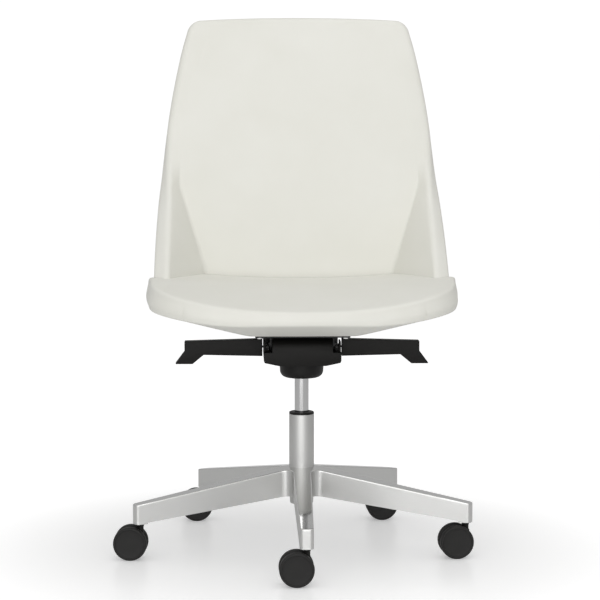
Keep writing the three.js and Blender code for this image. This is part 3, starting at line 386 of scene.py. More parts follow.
def star_ring(index):
    """The points of one ring of the casting's skin."""
    if index in bore_rings:
        points = [point.normalized() * bore_radius for point in star_outline(0)]
    else:
        points = star_outline(ring_insets[index] * mm)
    for point in points:
        reach = arm_reach_of(point)
        if index in foot_rings:
            point.z = along_arm(reach, tip_foot, root_foot)
        else:
            point.z = along_arm(reach, tip_top, root_top) - ring_drops[index] * mm
    return points


bpy.ops.mesh.primitive_circle_add(vertices=len(star_outline(0)), radius=1, location=(0, 0, 0))
star = bpy.context.object
bpy.ops.object.mode_set(mode="EDIT")
bpy.ops.mesh.select_all(action="SELECT")
for drop in ring_drops[1:]:
    bpy.ops.mesh.extrude_edges_move(TRANSFORM_OT_translate={"value": (0, 0, 1)})
edited(star)
around = {}
for vertex in star.data.vertices:
    around.setdefault(round(vertex.co.z), []).append(vertex)
for level, ring in around.items():
    ring.sort(key=lambda vertex: math.atan2(vertex.co.x, -vertex.co.y) % (2 * math.pi))
    for vertex, point in zip(ring, star_ring(level)):
        vertex.co = point
closed(star, through=True)

pockets = []
for arm in range(5):
    for near, far in pocket_spans:
        bpy.ops.mesh.primitive_cube_add(size=1, location=(0, 0, 0))
        pocket = bpy.context.object
        for vertex in pocket.data.vertices:
            reach = (near if vertex.co.x < 0 else far) * mm
            half = along_arm(reach, arm_half_tip, arm_half_root) - pocket_wall
            top = along_arm(reach, tip_top, root_top) - pocket_roof
            foot = along_arm(reach, tip_foot, root_foot) - pocket_overrun
            side = half if vertex.co.y > 0 else -half
            vertex.co = Vector((reach, side, top if vertex.co.z > 0 else foot))
        pocket.data.transform(Matrix.Rotation(arm_turn + arm * arm_spacing, 4, "Z"))
        bevelled(pocket, pocket_round)
        pockets.append(pocket)


def cut(piece, tool, operation="DIFFERENCE"):
    """Cuts a piece with a tool, or joins them, and removes the tool."""
    applied(piece, "BOOLEAN", object=tool, operation=operation, solver="EXACT")
    bpy.data.objects.remove(tool)
    return piece


cut(star, joined(pockets))
tip_pads = []
for arm in range(5):
    bpy.ops.mesh.primitive_cube_add(size=1, location=(0, 0, 0))
    tip_pad = bpy.context.object
    for vertex in tip_pad.data.vertices:
        reach = arm_reach - (tip_pad_length if vertex.co.x < 0 else tip_pad_gap)
        half = along_arm(reach, arm_half_tip, arm_half_root) - tip_pad_gap
        vertex.co = Vector((reach, half if vertex.co.y > 0 else -half,
                            tip_foot + (tip_pad_height if vertex.co.z > 0 else 0)))
    pick(tip_pad, "edges", lambda a, b: a.xy == b.xy and a.x > arm_reach - 1 * mm)
    bpy.ops.mesh.bevel(offset=tip_round, segments=8)
    edited(tip_pad)
    tip_pad.data.transform(Matrix.Rotation(arm_turn + arm * arm_spacing, 4, "Z"))
    tip_pads.append(tip_pad)
cut(star, joined(tip_pads), "UNION")
smoothed(star, 28)
settled(star, "star_casting", "base", "polished_aluminium", satin_painted_shade_side, polished_top,
        stands_for=("star_base",))
# Faces that look upward get the polished top; the rest get the satin side, whose darker colour is
# painted shade.
for face in star.data.polygons:
    face.material_index = 1 if face.normal.z > polished_slope else 0

# -------------------------------------------------------- castors
# Twin-wheel castors of moulded nylon: two solid wheels with a rounded tread on a steel axle, on
# either side of a narrow hood whose round neck takes the steel stem that plugs into the arm.
wheel_radius, wheel_gap = 33.25 * mm, 0.3 * mm
hood_half, hood_radius = 6.5 * mm, 25 * mm
trail_length = 19 * mm
web_reach, web_rise, web_length, web_height = 6 * mm, 12 * mm, 26 * mm, 24 * mm
wheel_plastic = grained(finish_of("black_wheel_plastic", (0.014, 0.0135, 0.013), 0.58,
                                  Specular_IOR_Level=0.3),
                        900, 0.05, 0.0002, rough=(0.54, 0.64))
hood_plastic = grained(finish_of("black_hood_plastic", (0.007, 0.0066, 0.006), 0.45,
                                 Specular_IOR_Level=0.22),
                       1100, 0.08, 0.0002, rough=(0.42, 0.52))


def turned(profile, sides):
    """A lathe about Z, ring by ring from a list of (radius, height); a radius of 0 closes the end,
    and a profile that returns to its first point makes a ring."""
    hollow = profile[0] == profile[-1]
    rings = profile[:-1] if hollow else profile
    start = [ring for ring in rings if ring[0] > 0]
    bpy.ops.object.select_all(action="DESELECT")
    bpy.ops.mesh.primitive_circle_add(vertices=sides, radius=start[0][0], location=(0, 0, 0))
    lathe = bpy.context.object
    bpy.ops.object.mode_set(mode="EDIT")
    bpy.ops.mesh.select_all(action="SELECT")
    bpy.ops.transform.translate(value=(0, 0, start[0][1]))
    level = start[0]
    for ring in start[1:]:
        lift = (0, 0, ring[1] - level[1])
        bpy.ops.mesh.extrude_edges_move(TRANSFORM_OT_translate={"value": lift})
        ratio = ring[0] / level[0]
        bpy.ops.transform.resize(value=(ratio, ratio, 1), center_override=(0, 0, ring[1]))
        level = ring
    return closed(edited(lathe), through=hollow)


def copied(piece):
    """A copy with its own mesh."""
    twin = piece.copy()
    twin.data = piece.data.copy()
    bpy.context.scene.collection.objects.link(twin)
    return twin


def lathe_part(profile, sides, width, segments=2, angle=30, smooth=30):
    """A turned piece, its profile and the width of its rounded edges given in millimetres."""
    part = turned([(r * mm, z * mm) for r, z in profile], sides)
    bevelled(part, width * mm, segments, angle)
    return smoothed(part, smooth)


def refinished(material, *names):
    """Gives CAD nodes a finish."""
    for name in names:
        for material_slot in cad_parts[name].material_slots:
            material_slot.material = material


# One wheel about its own axle, with its outer face upwards: a plain disc inside a faintly raised
# rim, with the bore and pocket of the inner face.
wheel = lathe_part([
    (0, 14.8), (12, 14.7), (27.2, 14.4), (27.9, 14.6), (28.5, 15.7), (29.5, 16), (31.1, 15.6),
    (32.4, 14.4), (33.1, 12.2), (33.25, 8), (33.25, 4), (32.9, 1.6), (31.9, 0.4), (30.5, 0),
    (28, 0), (26.8, 4.5), (12, 5), (10.6, 0), (3.3, 0), (3.3, 11), (0, 11),
], sides=64, width=0.35, angle=24, smooth=32)

# The hood: a disc between the wheels that runs up into the neck.
bpy.ops.mesh.primitive_cylinder_add(vertices=56, radius=hood_radius, depth=2 * hood_half,
                                    location=(trail_length, 0, wheel_radius),
                                    rotation=(math.pi / 2, 0, 0))
hood = bpy.context.object
bpy.ops.object.transform_apply(location=True, rotation=True, scale=True)
bpy.ops.mesh.primitive_cube_add(size=1, location=(web_reach, 0, wheel_radius + web_rise))
web = bpy.context.object
web.scale = (web_length, 2 * hood_half, web_height)
bpy.ops.object.transform_apply(location=True, rotation=True, scale=True)
cut(hood, web, "UNION")
bevelled(hood, 1.2 * mm, segments=3, angle=40)
neck = lathe_part([
    (0, 46), (6.5, 46), (6.6, 64.9), (7.3, 66), (7.5, 68.9), (7.1, 70), (0, 70),
], sides=32, width=0.2)
cut(hood, neck, "UNION")
smoothed(hood, 32)

stem_finish = grained(finish_of("bright_steel", (0.72, 0.72, 0.71), 0.22, 1.0),
                      400, 0.02, 0.0002, rough=(0.18, 0.28))
for number in range(1, 6):
    castor = f"castor_{number}"
    stem_low, stem_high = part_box(f"{castor}_stem")
    axle_low, axle_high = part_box(f"{castor}_axle")
    stem = ((stem_low + stem_high) / 2).to_2d()
    trail = ((axle_low + axle_high) / 2).to_2d() - stem
    heading = Matrix.Rotation(math.atan2(trail.y, trail.x), 4, "Z")
    home = Vector((stem.x, stem.y, 0))
    shell = copied(hood)
    shell.data.transform(heading)
    settled(shell, f"{castor}_hood", castor, "black_plastic", hood_plastic,
            stands_for=(f"{castor}_body",), about=home)
    for side, name in [(1, "left"), (-1, "right")]:
        disc = copied(wheel)
        upright = Matrix.Rotation(-side * math.pi / 2, 4, "X")
        across = Matrix.Translation((trail_length, side * (hood_half + wheel_gap), wheel_radius))
        disc.data.transform(heading @ across @ upright)
        settled(disc, f"{castor}_disc_{name}", f"{castor}_wheel_{name}", "wheel_plastic",
                wheel_plastic, stands_for=(f"{castor}_wheel_{name}",), about=home)
    refinished(stem_finish, f"{castor}_stem", f"{castor}_axle")
bpy.data.objects.remove(wheel)
bpy.data.objects.remove(hood)

# -------------------------------------------------------- column
# A drawn aluminium tube pressed into the casting, with a moulded guide bush that closes its top.
# The gas spring's chromed cylinder slides and turns in it, its piston rod is clipped to the plate
# at the foot, and a moulded cup hides where it enters the mechanism.
satin_tube = grained(finish_of("satin_column_tube", (0.58, 0.58, 0.57), 0.53, 1.0),
                     90, 0.04, 0.0004, stretch=(1, 1, 14), rough=(0.5, 0.56))
chrome = grained(finish_of("hard_chrome", (0.52, 0.52, 0.52), 0.14, 1.0),
                 300, 0.01, 0.0002, rough=(0.06, 0.12))
tube = lathe_part([
    (5.3, 98), (21.7, 98), (21.7, 90.5), (22.6, 90.5), (23.4, 91.6), (25, 164), (25, 272),
    (23.2, 272), (23.2, 164), (21.7, 101), (5.3, 101), (5.3, 98),
], sides=96, width=0.6)
settled(tube, "tube", "base", "polished_aluminium", satin_tube, stands_for=("column_tube",))
bush = lathe_part([
    (14.15, 182), (22.9, 182), (22.9, 272.3), (25, 272.3), (25, 274.6), (24.6, 275.6),
    (23.6, 276.3), (15, 276.3), (14.15, 275.8), (14.15, 182),
], sides=96, width=0.25)
settled(bush, "tube_bush", "base", "black_plastic", hood_plastic, stands_for=("guide_bush",))
gas = lathe_part([
    (5.3, 182), (14, 182), (14, 378), (12.8, 403), (4.3, 403), (4.3, 345), (12.2, 345),
    (12.2, 195), (5.3, 195), (5.3, 182),
], sides=72, width=0.3)
settled(gas, "gas_spring", "lift", "chrome_rod", chrome, stands_for=("gas_cylinder",))
cup = lathe_part([
    (14.3, 346.3), (29.5, 346.3), (33.1, 346.8), (36.5, 348.2), (39.4, 350.4), (41.6, 353.3),
    (43, 356.7), (43.5, 360.3), (44.3, 374), (44.5, 377.7), (14.3, 377.7), (14.3, 346.3),
], sides=96, width=0.2, angle=35)
settled(cup, "underside_cup", "lift", "black_plastic", hood_plastic, stands_for=("column_cup",))
blackened = grained(finish_of("blackened_steel", (0.022, 0.022, 0.022), 0.36, 0.55),
                    700, 0.06, 0.0002, rough=(0.32, 0.45))
rubber = grained(finish_of("buffer_rubber", (0.018, 0.017, 0.016), 0.75),
                 500, 0.15, 0.0004, rough=(0.7, 0.85))
refinished(chrome, "piston_rod")
refinished(stem_finish, "thrust_bearing", "release_button")
refinished(rubber, "bump_stop")
refinished(blackened, "column_clip")

# -------------------------------------------------------- mechanism
# A moulded black case on the cylinder's taper, with a spring block between its side walls. A steel
# axle through the block carries the seat's bracket and the coiled spring that holds it level.
case_plastic = grained(finish_of("black_case_plastic", (0.006, 0.0056, 0.005), 0.5,
                                 Specular_IOR_Level=0.2),
                       1300, 0.1, 0.0002, rough=(0.46, 0.56))


merge_within, flat_within = 0.00001, 1.0


def refined(node, width, segments=2, angle=30, smooth=30):
    """A copy of a CAD node with its loose triangles joined, its flats made whole and its edges
    rounded."""
    piece = bpy.data.objects.new(node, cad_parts[node].data.copy())
    bpy.context.scene.collection.objects.link(piece)
    pick(piece, "verts", lambda co, normal: True)
    bpy.ops.mesh.remove_doubles(threshold=merge_within)
    bpy.ops.mesh.dissolve_limited(angle_limit=math.radians(flat_within))
    edited(piece)
    bevelled(piece, width * mm, segments, angle)
    return smoothed(piece, smooth)


in_place = Vector((0, 0, 0))
case = refined("mechanism_housing", 0.9)
settled(case, "mechanism_case", "lift", "black_plastic", case_plastic,
        stands_for=("mechanism_housing",), about=in_place)

# The bracket's edge, turned down at the rear, reaches a little lower than on the plain node.
flange_y, flange_z, flange_drop = axis.y + 80 * mm, 406 * mm, 6 * mm
bracket = refined("seat_bracket", 0.6)
for vertex in bracket.data.vertices:
    if vertex.co.y > flange_y and vertex.co.z < flange_z:
        vertex.co.z -= flange_drop
settled(bracket, "seat_carrier", "seat", "blackened_steel", blackened,
        stands_for=("seat_bracket",), about=in_place)
refinished(blackened, "tilt_axle", "axle_clip_left", "axle_clip_right", "tilt_spring",
           "lever_pin_left", "lever_pin_right", "release_arm", "lock_arm")

# -------------------------------------------------------- levers
# Two moulded paddles pressed on flat steel arms: the right one lifts to press the gas spring's
# button, the left one lifts to free the tilt.
for node, name in [("right_lever", "height_paddle"), ("left_lever", "tilt_paddle")]:
    paddle = refined(node, 1.8, segments=4, angle=25, smooth=40)
    settled(paddle, name, node, "black_plastic", case_plastic, stands_for=(node,), about=in_place)

# -------------------------------------------------------- seat screws
# Four bright steel screws with a hexagon socket in a low round head. They go up through the
# carrier into the board inside the shell and hold the seat to it.
socket_radius, socket_depth = 2.9 * mm, 4 * mm
for corner in ("front_left", "front_right", "rear_left", "rear_right"):
    node = f"seat_screw_{corner}"
    low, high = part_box(node)
    middle = (low + high) / 2
    foot, top = low.z / mm, high.z / mm
    screw = lathe_part([
        (0, foot), (5.2, foot), (6, foot + 0.8), (6, foot + 3.5), (3, foot + 3.5), (3, top - 1),
        (2.4, top), (0, top),
    ], sides=32, width=0.15, segments=1)
    bpy.ops.mesh.primitive_cylinder_add(vertices=6, radius=socket_radius, depth=socket_depth,
                                        location=(0, 0, low.z))
    cut(screw, bpy.context.object)
    smoothed(screw, 30)
    settled(screw, f"socket_screw_{corner}", "seat", "bright_steel", stem_finish,
            stands_for=(node,), about=Vector((middle.x, middle.y, 0)))

# -------------------------------------------------------- back pad
# One seamless pad of moulded foam under thin leather: the back and the two wings that run forward
# from it, folded along a crease on each side, with a rolled rim that laps round to the rear.
top_z, seat_line_z, apex_z, wing_foot_z, foot_z = 1069.0, 535.0, 750.0, 545.0, 523.0
wing_rise = apex_z - wing_foot_z
back_foot_y, back_lean, back_curve, back_dish = 172, 0.1, 9.4e-5, 8
half_at_foot, half_at_top, half_lost, half_curve = 293.7, 225, 68.7, 2.1
belly_z, flat_half, side_slope = 440, 106.5, 0.28
front_bend_y, front_slope, rear_bend_y, rear_curve = -108, 0.26, 105, 200
crease_at_foot, crease_spread, crease_gap, crease_round = 195, 63, 4, 9
wing_ahead, wing_ease = 30, 22
top_crown, crown_fade = 7, 80
rim_depth, pad_depth = 34.3, 20.0
corner_radius, front_roll, rear_roll = 21.0, 12.0, 9.0
rim_width = 13
rim = [rim_width, 12.4, 9, 6, 4, 2.5, 1.2, 0.4, 0]
no_edge = 1e3
evening_sweeps, fitting_sweeps = 20, 10


def sunk(distance, radius):
    """How far a surface has rolled away at a distance from its edge."""
    if distance >= radius:
        return 0.0
    return radius - math.sqrt(radius ** 2 - (radius - max(distance, 0.0)) ** 2)


def eased(value):
    """A smooth step from 0 to 1."""
    value = min(max(value, 0.0), 1.0)
    return value * value * (3 - 2 * value)


def back_y(z):
    """Where the middle of the back stands at a height."""
    rise = max(0.0, z - seat_line_z)
    return back_foot_y + back_lean * rise + back_curve * rise ** 2


def half_width(z):
    """Half the width over the wings at a height."""
    rise = max(0.0, z - wing_foot_z) / (top_z - wing_foot_z)
    return half_at_foot - half_lost * rise ** half_curve


def belly(x, y):
    """The height of the shell's underside, which rises from a flat middle."""
    side = side_slope * max(0.0, abs(x) - flat_half)
    front = front_slope * max(0.0, front_bend_y - y)
    rear = max(0.0, y - rear_bend_y) ** 2 / rear_curve
    return belly_z + math.hypot(side, front, rear)


def fold_at(height, stand_in):
    """The wing in plan at a height: its crease, its edge, the direction between them and how far
    the fold reaches to each side of the crease."""
    z = max(height, wing_foot_z)
    y = back_y(height) - back_dish
    forward = (back_y(wing_foot_z) + wing_ahead) / wing_rise * wing_ease
    forward *= math.log1p(math.exp((apex_z - z) / wing_ease))
    crease_x = min(crease_at_foot + crease_spread * (z - wing_foot_z) / wing_rise,
                   half_width(z) - rim_depth - crease_gap)
    crease = Vector((crease_x, y))
    edge = Vector((half_width(z) - stand_in, y - forward))
    along = (edge - crease).normalized()
    round_off = min(crease_round, ((edge - crease).length - rim_width) / 4)
    return crease, edge, along, round_off


def face_point(column, height, stand_in, inset=None):
    """A point of the pad's face. A column is a share of the back's width, of the fold or of the
    wing, or a distance in from the wing's edge."""
    kind, value = column
    y = back_y(height)
    crease, edge, along, round_off = fold_at(height, stand_in)
    turn_out = crease + along * round_off
    if kind == "back":
        x = value * (crease.x - round_off)
        spot = Vector((x, y - back_dish * (x / crease.x) ** 2))
    elif kind == "fold":
        x = crease.x - round_off
        start = Vector((x, y - back_dish * (x / crease.x) ** 2))
        spot = start * (1 - value) ** 2 + crease * 2 * value * (1 - value) + turn_out * value ** 2
    elif inset is not None:
        spot = edge - along * inset
    else:
        spot = turn_out.lerp(edge - along * rim_width, value)
    crown = top_crown * (spot.x / half_at_top) ** 2 * eased(1 - (top_z - height) / crown_fade)
    return Vector((spot.x, spot.y, height - crown))


def inset_of(column, height, stand_in):
    """How far a column lies in from the wing's edge, or None on the back and the fold."""
    kind, value = column
    if kind == "edge":
        return value
    if kind == "wing":
        crease, edge, along, round_off = fold_at(height, stand_in)
        turn_out = crease + along * round_off
        return (edge - turn_out.lerp(edge - along * rim_width, value)).length
    return None


inner_columns = [("back", share / 14) for share in range(15)]
inner_columns += [("fold", share / 5) for share in range(1, 6)]
inner_columns += [("wing", share / 9) for share in range(1, 9)]
pad_columns = inner_columns + [("edge", step) for step in rim]
level_steps = 42
levels = [foot_z + (top_z - foot_z) * step / level_steps for step in range(level_steps + 1)]


def normals_on(columns, stand_ins):
    """The outward normals of the face, level by level, evened out along its height."""
    last = len(levels) - 1
    grid = [[face_point(c, z, s, c[1] if c[0] == "edge" else None) for c in columns]
            for z, s in zip(levels, stand_ins)]
    normals = []
    for k in range(len(levels)):
        row = []
        for j in range(len(columns)):
            near = grid[k][j - 1] if j else grid[k][1] * Vector((-1, 1, 1))
            across = grid[k][min(j + 1, len(columns) - 1)] - near
            up = grid[min(k + 1, last)][j] - grid[max(k - 1, 0)][j]
            row.append(across.cross(up).normalized())
        normals.append(row)
    for sweep in range(evening_sweeps):
        normals = [[(normals[k][j] * 2 + normals[max(k - 1, 0)][j] + normals[min(k + 1, last)][j])
                    .normalized() for j in range(len(columns))] for k in range(len(levels))]
    return normals


# The face stands in from the outline by what the rim takes up beyond it.
stand_ins = [0.0] * len(levels)
for sweep in range(fitting_sweeps):
    for k, row in enumerate(normals_on(pad_columns, stand_ins)):
        outward = -row[-1].x
        forward = math.sqrt(1 - outward ** 2)
        reached = outward * (rim_depth - rear_roll) + rear_roll * (1 - forward)
        stand_ins[k] = (stand_ins[k] + reached) / 2


def between_levels(values, height):
    """A value that is given level by level, at any height."""
    at = (height - foot_z) / (top_z - foot_z) * level_steps
    k = min(max(int(at), 0), level_steps - 1)
    share = min(max(at - k, 0.0), 1.0)
    return values[k] * (1 - share) + values[k + 1] * share


class Face:
    """The pad's face with its normals, for one list of columns."""

    def __init__(self, columns):
        self.columns = columns
        self.normals = normals_on(columns, stand_ins)

    def at(self, j, height, depth=0.0, roll=None):
        """The point of a column at a height and a depth behind the face, or at the depth that
        roll gives from its distance to the rounded edge."""
        column = self.columns[j]
        stand_in = between_levels(stand_ins, height)
        inset = inset_of(column, height, stand_in)
        below = top_z - height
        distance = min(inset if inset is not None else no_edge, below)
        if inset is not None and inset < corner_radius and below < corner_radius:
            x, y = 1 - inset / corner_radius, 1 - below / corner_radius
            round_x, round_y = x * math.sqrt(1 - y * y / 2), y * math.sqrt(1 - x * x / 2)
            distance = corner_radius * (1 - math.hypot(round_x, round_y))
            inset = corner_radius * (1 - round_x)
            height = top_z - corner_radius * (1 - round_y)
            stand_in = between_levels(stand_ins, height)
        point = face_point(column, height, stand_in, inset)
        normal = between_levels([row[j] for row in self.normals], height).normalized()
        if roll:
            depth = roll(distance)
        return point - normal * depth


def layered(name, columns, rows, layers, place):
    """A closed block made from a grid that is extruded layer by layer; place gives the point of
    each column, row and layer, with the columns mirrored to the left."""
    bpy.ops.object.select_all(action="DESELECT")
    across = 2 * (columns - 1)
    bpy.ops.mesh.primitive_grid_add(x_subdivisions=across, y_subdivisions=rows - 1, size=2,
                                    location=(0, 0, 0))
    block = bpy.context.object
    block.name = name
    bpy.ops.object.mode_set(mode="EDIT")
    bpy.ops.mesh.select_all(action="SELECT")
    for layer in range(layers):
        bpy.ops.mesh.extrude_region_move(TRANSFORM_OT_translate={"value": (0, 0, 1)})
    edited(block)
    for vertex in block.data.vertices:
        column = round((vertex.co.x + 1) / 2 * across) - (columns - 1)
        row = round((vertex.co.y + 1) / 2 * (rows - 1))
        point = place(abs(column), row, round(vertex.co.z))
        vertex.co = (point[0] * (mm if column >= 0 else -mm), point[1] * mm, point[2] * mm)
    return faced_out(block)


pad_face = Face(pad_columns)
edge_start = len(inner_columns)
top_steps = [0, 0.4, 1.2, 2.5, 4, 6, 9, 12.4, 13, 15.5, 18.5, 22]
pad_heights = [top_z - step for step in top_steps]
under_rim, lower_rows = pad_heights[-1], 38
pad_heights += [under_rim - (under_rim - foot_z) * step / lower_rows
                for step in range(1, lower_rows + 1)]
pad_layers = 3


def pad_point(j, i, k):
    """A point of the back pad; its last row reaches down to the shell."""
    height = pad_heights[min(i, len(pad_heights) - 1)]
    kind, value = pad_columns[j]
    lip = ((kind == "edge" and value < rim_width)
           or (i < len(top_steps) and top_steps[i] < rim_width))
    if k == 0:
        point = pad_face.at(j, height, roll=lambda distance: sunk(distance, front_roll))
    elif k < pad_layers:
        front, rear = front_roll, rim_depth - rear_roll
        point = pad_face.at(j, height, front + (rear - front) * k / pad_layers)
    elif lip:
        point = pad_face.at(j, height, roll=lambda distance: rim_depth - sunk(distance, rear_roll))
    else:
        point = pad_face.at(j, height, pad_depth)
    if i == len(pad_heights):
        point.z = belly(point.x, point.y) + 1
    return point


leather = finish_of("cream_leather", (0.75, 0.745, 0.69), 0.5, Sheen_Weight=0.08)
grained(leather, 750, 0.22, 0.00035, detail=3.0, rough=(0.44, 0.56),
        tint=((0.735, 0.73, 0.672), (0.76, 0.755, 0.702)))
back = layered("back_pad", len(pad_columns), len(pad_heights) + 1, pad_layers, pad_point)
pad_pressure, loosest = 1.5, 0.85
cloth_frames, cloth_quality = 20, 5


def puffed(pad, loose, pressure, cap):
    """Swells the loose part of a pad with a short cloth simulation and keeps each point within a
    small distance of where it was."""
    before = [vertex.co.copy() for vertex in pad.data.vertices]
    held = pad.vertex_groups.new(name="held")
    for vertex in pad.data.vertices:
        held.add([vertex.index], 1.0 - loose(vertex.co, vertex.normal), "REPLACE")
    alone(pad)
    cloth = pad.modifiers.new("cloth", "CLOTH")
    cloth.settings.vertex_group_mass = "held"
    cloth.settings.use_pressure = True
    cloth.settings.uniform_pressure_force = pressure
    cloth.settings.effector_weights.gravity = 0
    cloth.settings.quality = cloth_quality
    cloth.point_cache.frame_start = 1
    cloth.point_cache.frame_end = cloth_frames
    for frame_number in range(1, cloth_frames + 1):
        bpy.context.scene.frame_set(frame_number)
    bpy.ops.object.modifier_apply(modifier=cloth.name)
    bpy.context.scene.frame_set(1)
    for vertex, start in zip(pad.data.vertices, before):
        moved = vertex.co - start
        if moved.length > 1e-9:
            eased_length = cap * math.tanh(moved.length / cap)
            vertex.co = start + moved.normalized() * eased_length
    pad.vertex_groups.clear()


def front_of_back(co, normal):
    """Free over the middle of the back and of each wing, held at the rim and the rear."""
    if normal.y > -0.3:
        return 0.0
    rise = (co.z / mm - seat_line_z) / (top_z - seat_line_z)
    return loosest * eased(rise * 8) * eased((1 - rise) * 12)


puffed(back, front_of_back, pad_pressure, cap=1.6 * mm)
applied(back, "SUBSURF", levels=1, render_levels=1)
smoothed(back, 60)
settled(back, "back_pad", "seat", "padded_upholstery", leather, stands_for=("back_upholstery",))

# -------------------------------------------------------- seat pad
# The same foam and leather: a broad cushion whose top dips in the middle and falls away to a
# rounded front, with sides that swell a little over the turned-under edge.
seat_half, seat_side_y, seat_ahead = 298, -90, 160
side_curve, front_curve = 2 / 2.6, 2 / 2.2
seat_top_z, side_rise, front_fall, fall_y, fall_run = 530, 21, 22, -40, 185
seat_length, side_run, front_run = 422, 230, 225
side_joint, corner_turn, side_lean = 0.35, 48.0, 45
seat_layers = 9
foot_roll, foot_lift, seam_roll = 4.5, 14.6, 5
top_roll, nose_roll, nose_y, nose_run = 4, 4, -60, 100
swell_depth, swell_more, swell_from, swell_over = 1, 4.5, 110, 120


def seat_outline(turn, inset):
    """The cushion's outline in plan: a turn of 0 is its side, 90 the middle of its front."""
    angle = math.radians(turn)
    return Vector(((seat_half - inset) * max(math.cos(angle), 0) ** side_curve,
                   seat_side_y - (seat_ahead - inset) * math.sin(angle) ** front_curve))


def pad_top(x, y):
    """The height of the cushion's top before its edge rolls away."""
    fall = max(0.0, (fall_y - y) / fall_run) ** 1.5
    return seat_top_z - front_fall * fall + side_rise * (x / seat_half) ** 2


class Plan:
    """A patch of the plan between a rear line, the side and the front, at an inset."""

    def __init__(self, rear, lean_out, inset):
        self.rear, self.inset = rear, inset
        self.start, self.end = rear[-1], seat_outline(0, inset)
        self.lean_out = Vector(lean_out)
        self.lengths = [0.0]
        for a, b in zip(rear, rear[1:]):
            self.lengths.append(self.lengths[-1] + (b - a).length)

    def side(self, t):
        """A share of the way along the side, from the rear line to the corner."""
        if t >= side_joint:
            return seat_outline((t - side_joint) / (1 - side_joint) * corner_turn, self.inset)
        t = t / side_joint
        first, second = self.start + self.lean_out, self.end + Vector((0, side_lean))
        return (self.start * (1 - t) ** 3 + first * 3 * t * (1 - t) ** 2
                + second * 3 * t * t * (1 - t) + self.end * t ** 3)

    def front(self, w):
        """A share of the way along the front, from its middle to the corner."""
        return seat_outline(90 - (90 - corner_turn) * w, self.inset)

    def at(self, j, m):
        """The point of a column, a share of the way from the rear line to the front."""
        w = self.lengths[j] / self.lengths[-1]
        rear, last = self.rear[j], self.rear[-1]
        front = self.front(w)
        middle = Vector((0, self.rear[0].y + (self.front(0).y - self.rear[0].y) * m))
        point = rear * (1 - m) + front * m + middle * (1 - w) + self.side(m) * w
        point -= self.rear[0] * ((1 - w) * (1 - m)) + last * (w * (1 - m))
        return point - self.front(0) * ((1 - w) * m) - self.front(1) * (w * m)


def foot_line(face, depth, shift=0.0, roll=None):
    """The line of a back's face at its foot, in plan."""
    return [face.at(j, foot_z, depth, roll).to_2d() + Vector((0, shift))
            for j in range(len(face.columns))]


seat_rear = foot_line(pad_face, 0.0, -1.0, lambda distance: sunk(distance, front_roll))
plans = {step: Plan(seat_rear[:edge_start + index + 1], (44, 22), step)
         for index, step in enumerate(rim)}
rear_steps = [0, 0.6, 1.8, 3.5, 6, 10]
seat_rows = [("share", step / seat_length) for step in rear_steps]
seat_rows += [("share", 0.045 + 0.925 * step / 30) for step in range(31)]
seat_rows += [("edge", step) for step in rim]


def seat_plan(j, i):
    """The plan point of a column and row, and its distance in from the edge."""
    row_kind, row = seat_rows[i]
    inside = pad_columns[j][1] if pad_columns[j][0] == "edge" else None
    if row_kind == "share":
        if inside is None:
            return plans[rim_width].at(j, row), no_edge
        plan = plans[inside]
        return plan.side(row), inside
    if inside is None:
        return plans[row].at(j, 1.0), row
    if inside <= row:
        return plans[inside].side(1 - (row - inside) / side_run), inside
    return plans[row].front(1 - (inside - row) / front_run), row


def seat_point(j, i, k):
    """A point of the cushion, from its rolled top edge down to its foot on the shell."""
    spot, distance = seat_plan(j, i)
    row_kind, row = seat_rows[i]
    back_distance = rear_steps[i] if i < len(rear_steps) else no_edge
    roll = top_roll + nose_roll * eased((nose_y - spot.y) / nose_run)
    top = pad_top(spot.x, spot.y) - sunk(distance, roll) - sunk(back_distance, seam_roll)
    lift = sunk(distance, foot_roll) if distance < rim_width else foot_lift
    foot = belly(spot.x, spot.y) + lift
    share = k / seat_layers
    if distance > rim_width or (k == 0 and distance > 0):
        return (spot.x, spot.y, foot if k == seat_layers else top + (foot - top) * share)
    core = seat_plan(min(j, edge_start), min(i, len(seat_rows) - len(rim)))[0]
    outward = spot - core
    outward = outward.normalized() if outward.length > 0 else outward
    swell = swell_depth + swell_more * eased((abs(spot.x) - swell_from) / swell_over)
    swell *= math.sin(math.pi * 0.84 * share ** 1.5)
    swell *= eased((row if row_kind == "share" else 1.0) * 9)
    if k == seat_layers:
        swell *= 1 - distance / rim_width
    spot = spot + outward * swell
    return (spot.x, spot.y, top + (foot - top) * share)


seat = layered("seat_pad", len(pad_columns), len(seat_rows), seat_layers, seat_point)


def top_of_seat(co, normal):
    """Free over the top of the cushion, held round its edge and underneath."""
    if normal.z < 0.5:
        return 0.0
    rise = eased((co.y / mm + 250) / 40) * eased((160 - co.y / mm) / 30)
    return loosest * rise * eased((285 - abs(co.x / mm)) / 25)


puffed(seat, top_of_seat, pad_pressure, cap=2.0 * mm)
applied(seat, "SUBSURF", levels=1, render_levels=1)
smoothed(seat, 50)
settled(seat, "seat_pad", "seat", "padded_upholstery", leather, stands_for=("seat_upholstery",))

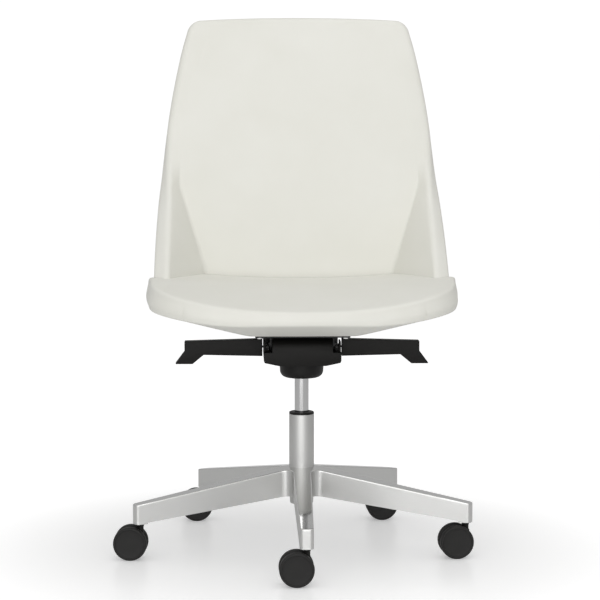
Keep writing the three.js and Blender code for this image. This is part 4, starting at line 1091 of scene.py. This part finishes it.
# -------------------------------------------------------- outer cover
# The outside of the shell: leather over a thin moulded panel that runs down the back and forward
# under the seat in one piece, let in behind the rolled rims of the two pads.
cover_depth, cover_front, cover_bend, cover_round = 34.3, 28.6, 12.0, 1.5
cover_rim = [6, 3.4, 1.5, 0.8, 0.3, 0]
cover_top = top_z - rim_width
cover_columns = inner_columns + [("wing", share) for share in (0.95, 0.98, 0.993, 1.0)]
cover_face = Face(cover_columns)
cover_heights = [cover_top - step for step in reversed(cover_rim)]
upright_top, upright_foot, upright_rows = 1044, 560, 34
cover_heights += [upright_top - (upright_top - upright_foot) * step / upright_rows
                  for step in range(1, upright_rows + 1)]
bend_steps = [0, 15, 30, 45, 60, 75, 90]
plate_shares = [0.02, 0.05, 0.09, 0.14] + [0.2 + 0.05 * step for step in range(16)]
plate_front = [4, 2, 0.9, 0.3, 0]
plate_length = 400
plate = Plan(foot_line(cover_face, cover_depth - cover_bend), (8, -20), rim_width)
bend_row = len(cover_heights)
plate_row = bend_row + len(bend_steps)
cover_rows = plate_row + len(plate_shares) + len(plate_front)
cover_layers = 2


def cover_point(j, i, k):
    """A point of the cover: down the back, round the bend and forward under the seat."""
    height = cover_heights[min(i, bend_row - 1)]
    inset = inset_of(cover_columns[j], height, between_levels(stand_ins, height))
    side = inset - rim_width if inset is not None else no_edge
    share = k / cover_layers
    if i < bend_row:
        outer = cover_depth - sunk(min(side, cover_top - height), cover_round)
        return cover_face.at(j, height, outer + (cover_front - outer) * share)
    if i < plate_row:
        angle = math.radians(bend_steps[i - bend_row])
        bend = cover_bend + (cover_front - cover_depth) * share
        depth = cover_depth + (cover_front - cover_depth) * share - bend * (1 - math.cos(angle))
        if angle < math.radians(80):
            depth -= sunk(side, cover_round) * (1 - share)
        point = cover_face.at(j, foot_z, depth)
        lift = (cover_depth - cover_front) * share + bend * (1 - math.sin(angle))
        rolled = sunk(side, cover_round) * (1 - share) * math.sin(angle)
        point.z = belly(point.x, point.y) + lift + rolled
        return point
    index = i - plate_row
    front = no_edge
    if index < len(plate_shares):
        spot = plate.at(j, plate_shares[index])
    else:
        front = plate_front[index - len(plate_shares)]
        spot = plate.at(j, 1 - front / plate_length)
    lift = (cover_depth - cover_front) * share
    lift += sunk(min(side, front), cover_round) * (1 - share)
    return (spot.x, spot.y, belly(spot.x, spot.y) + lift)


cover = layered("outer_cover", len(cover_columns), cover_rows, cover_layers, cover_point)
applied(cover, "SUBSURF", levels=1, render_levels=1)
smoothed(cover, 50)
settled(cover, "outer_cover", "seat", "cover_leather", leather, stands_for=("shell_cover",))

# -------------------------------------------------------- inner shell
# The pressed shell that the pads and the cover are fixed to. Its edge shows as a thin line between
# them, so it is wrapped in the same leather.
refinished(leather, "inner_shell")

# -------------------------------------------------------- sizes
# The box of everything that renders, leaving out the floor.
low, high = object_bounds()
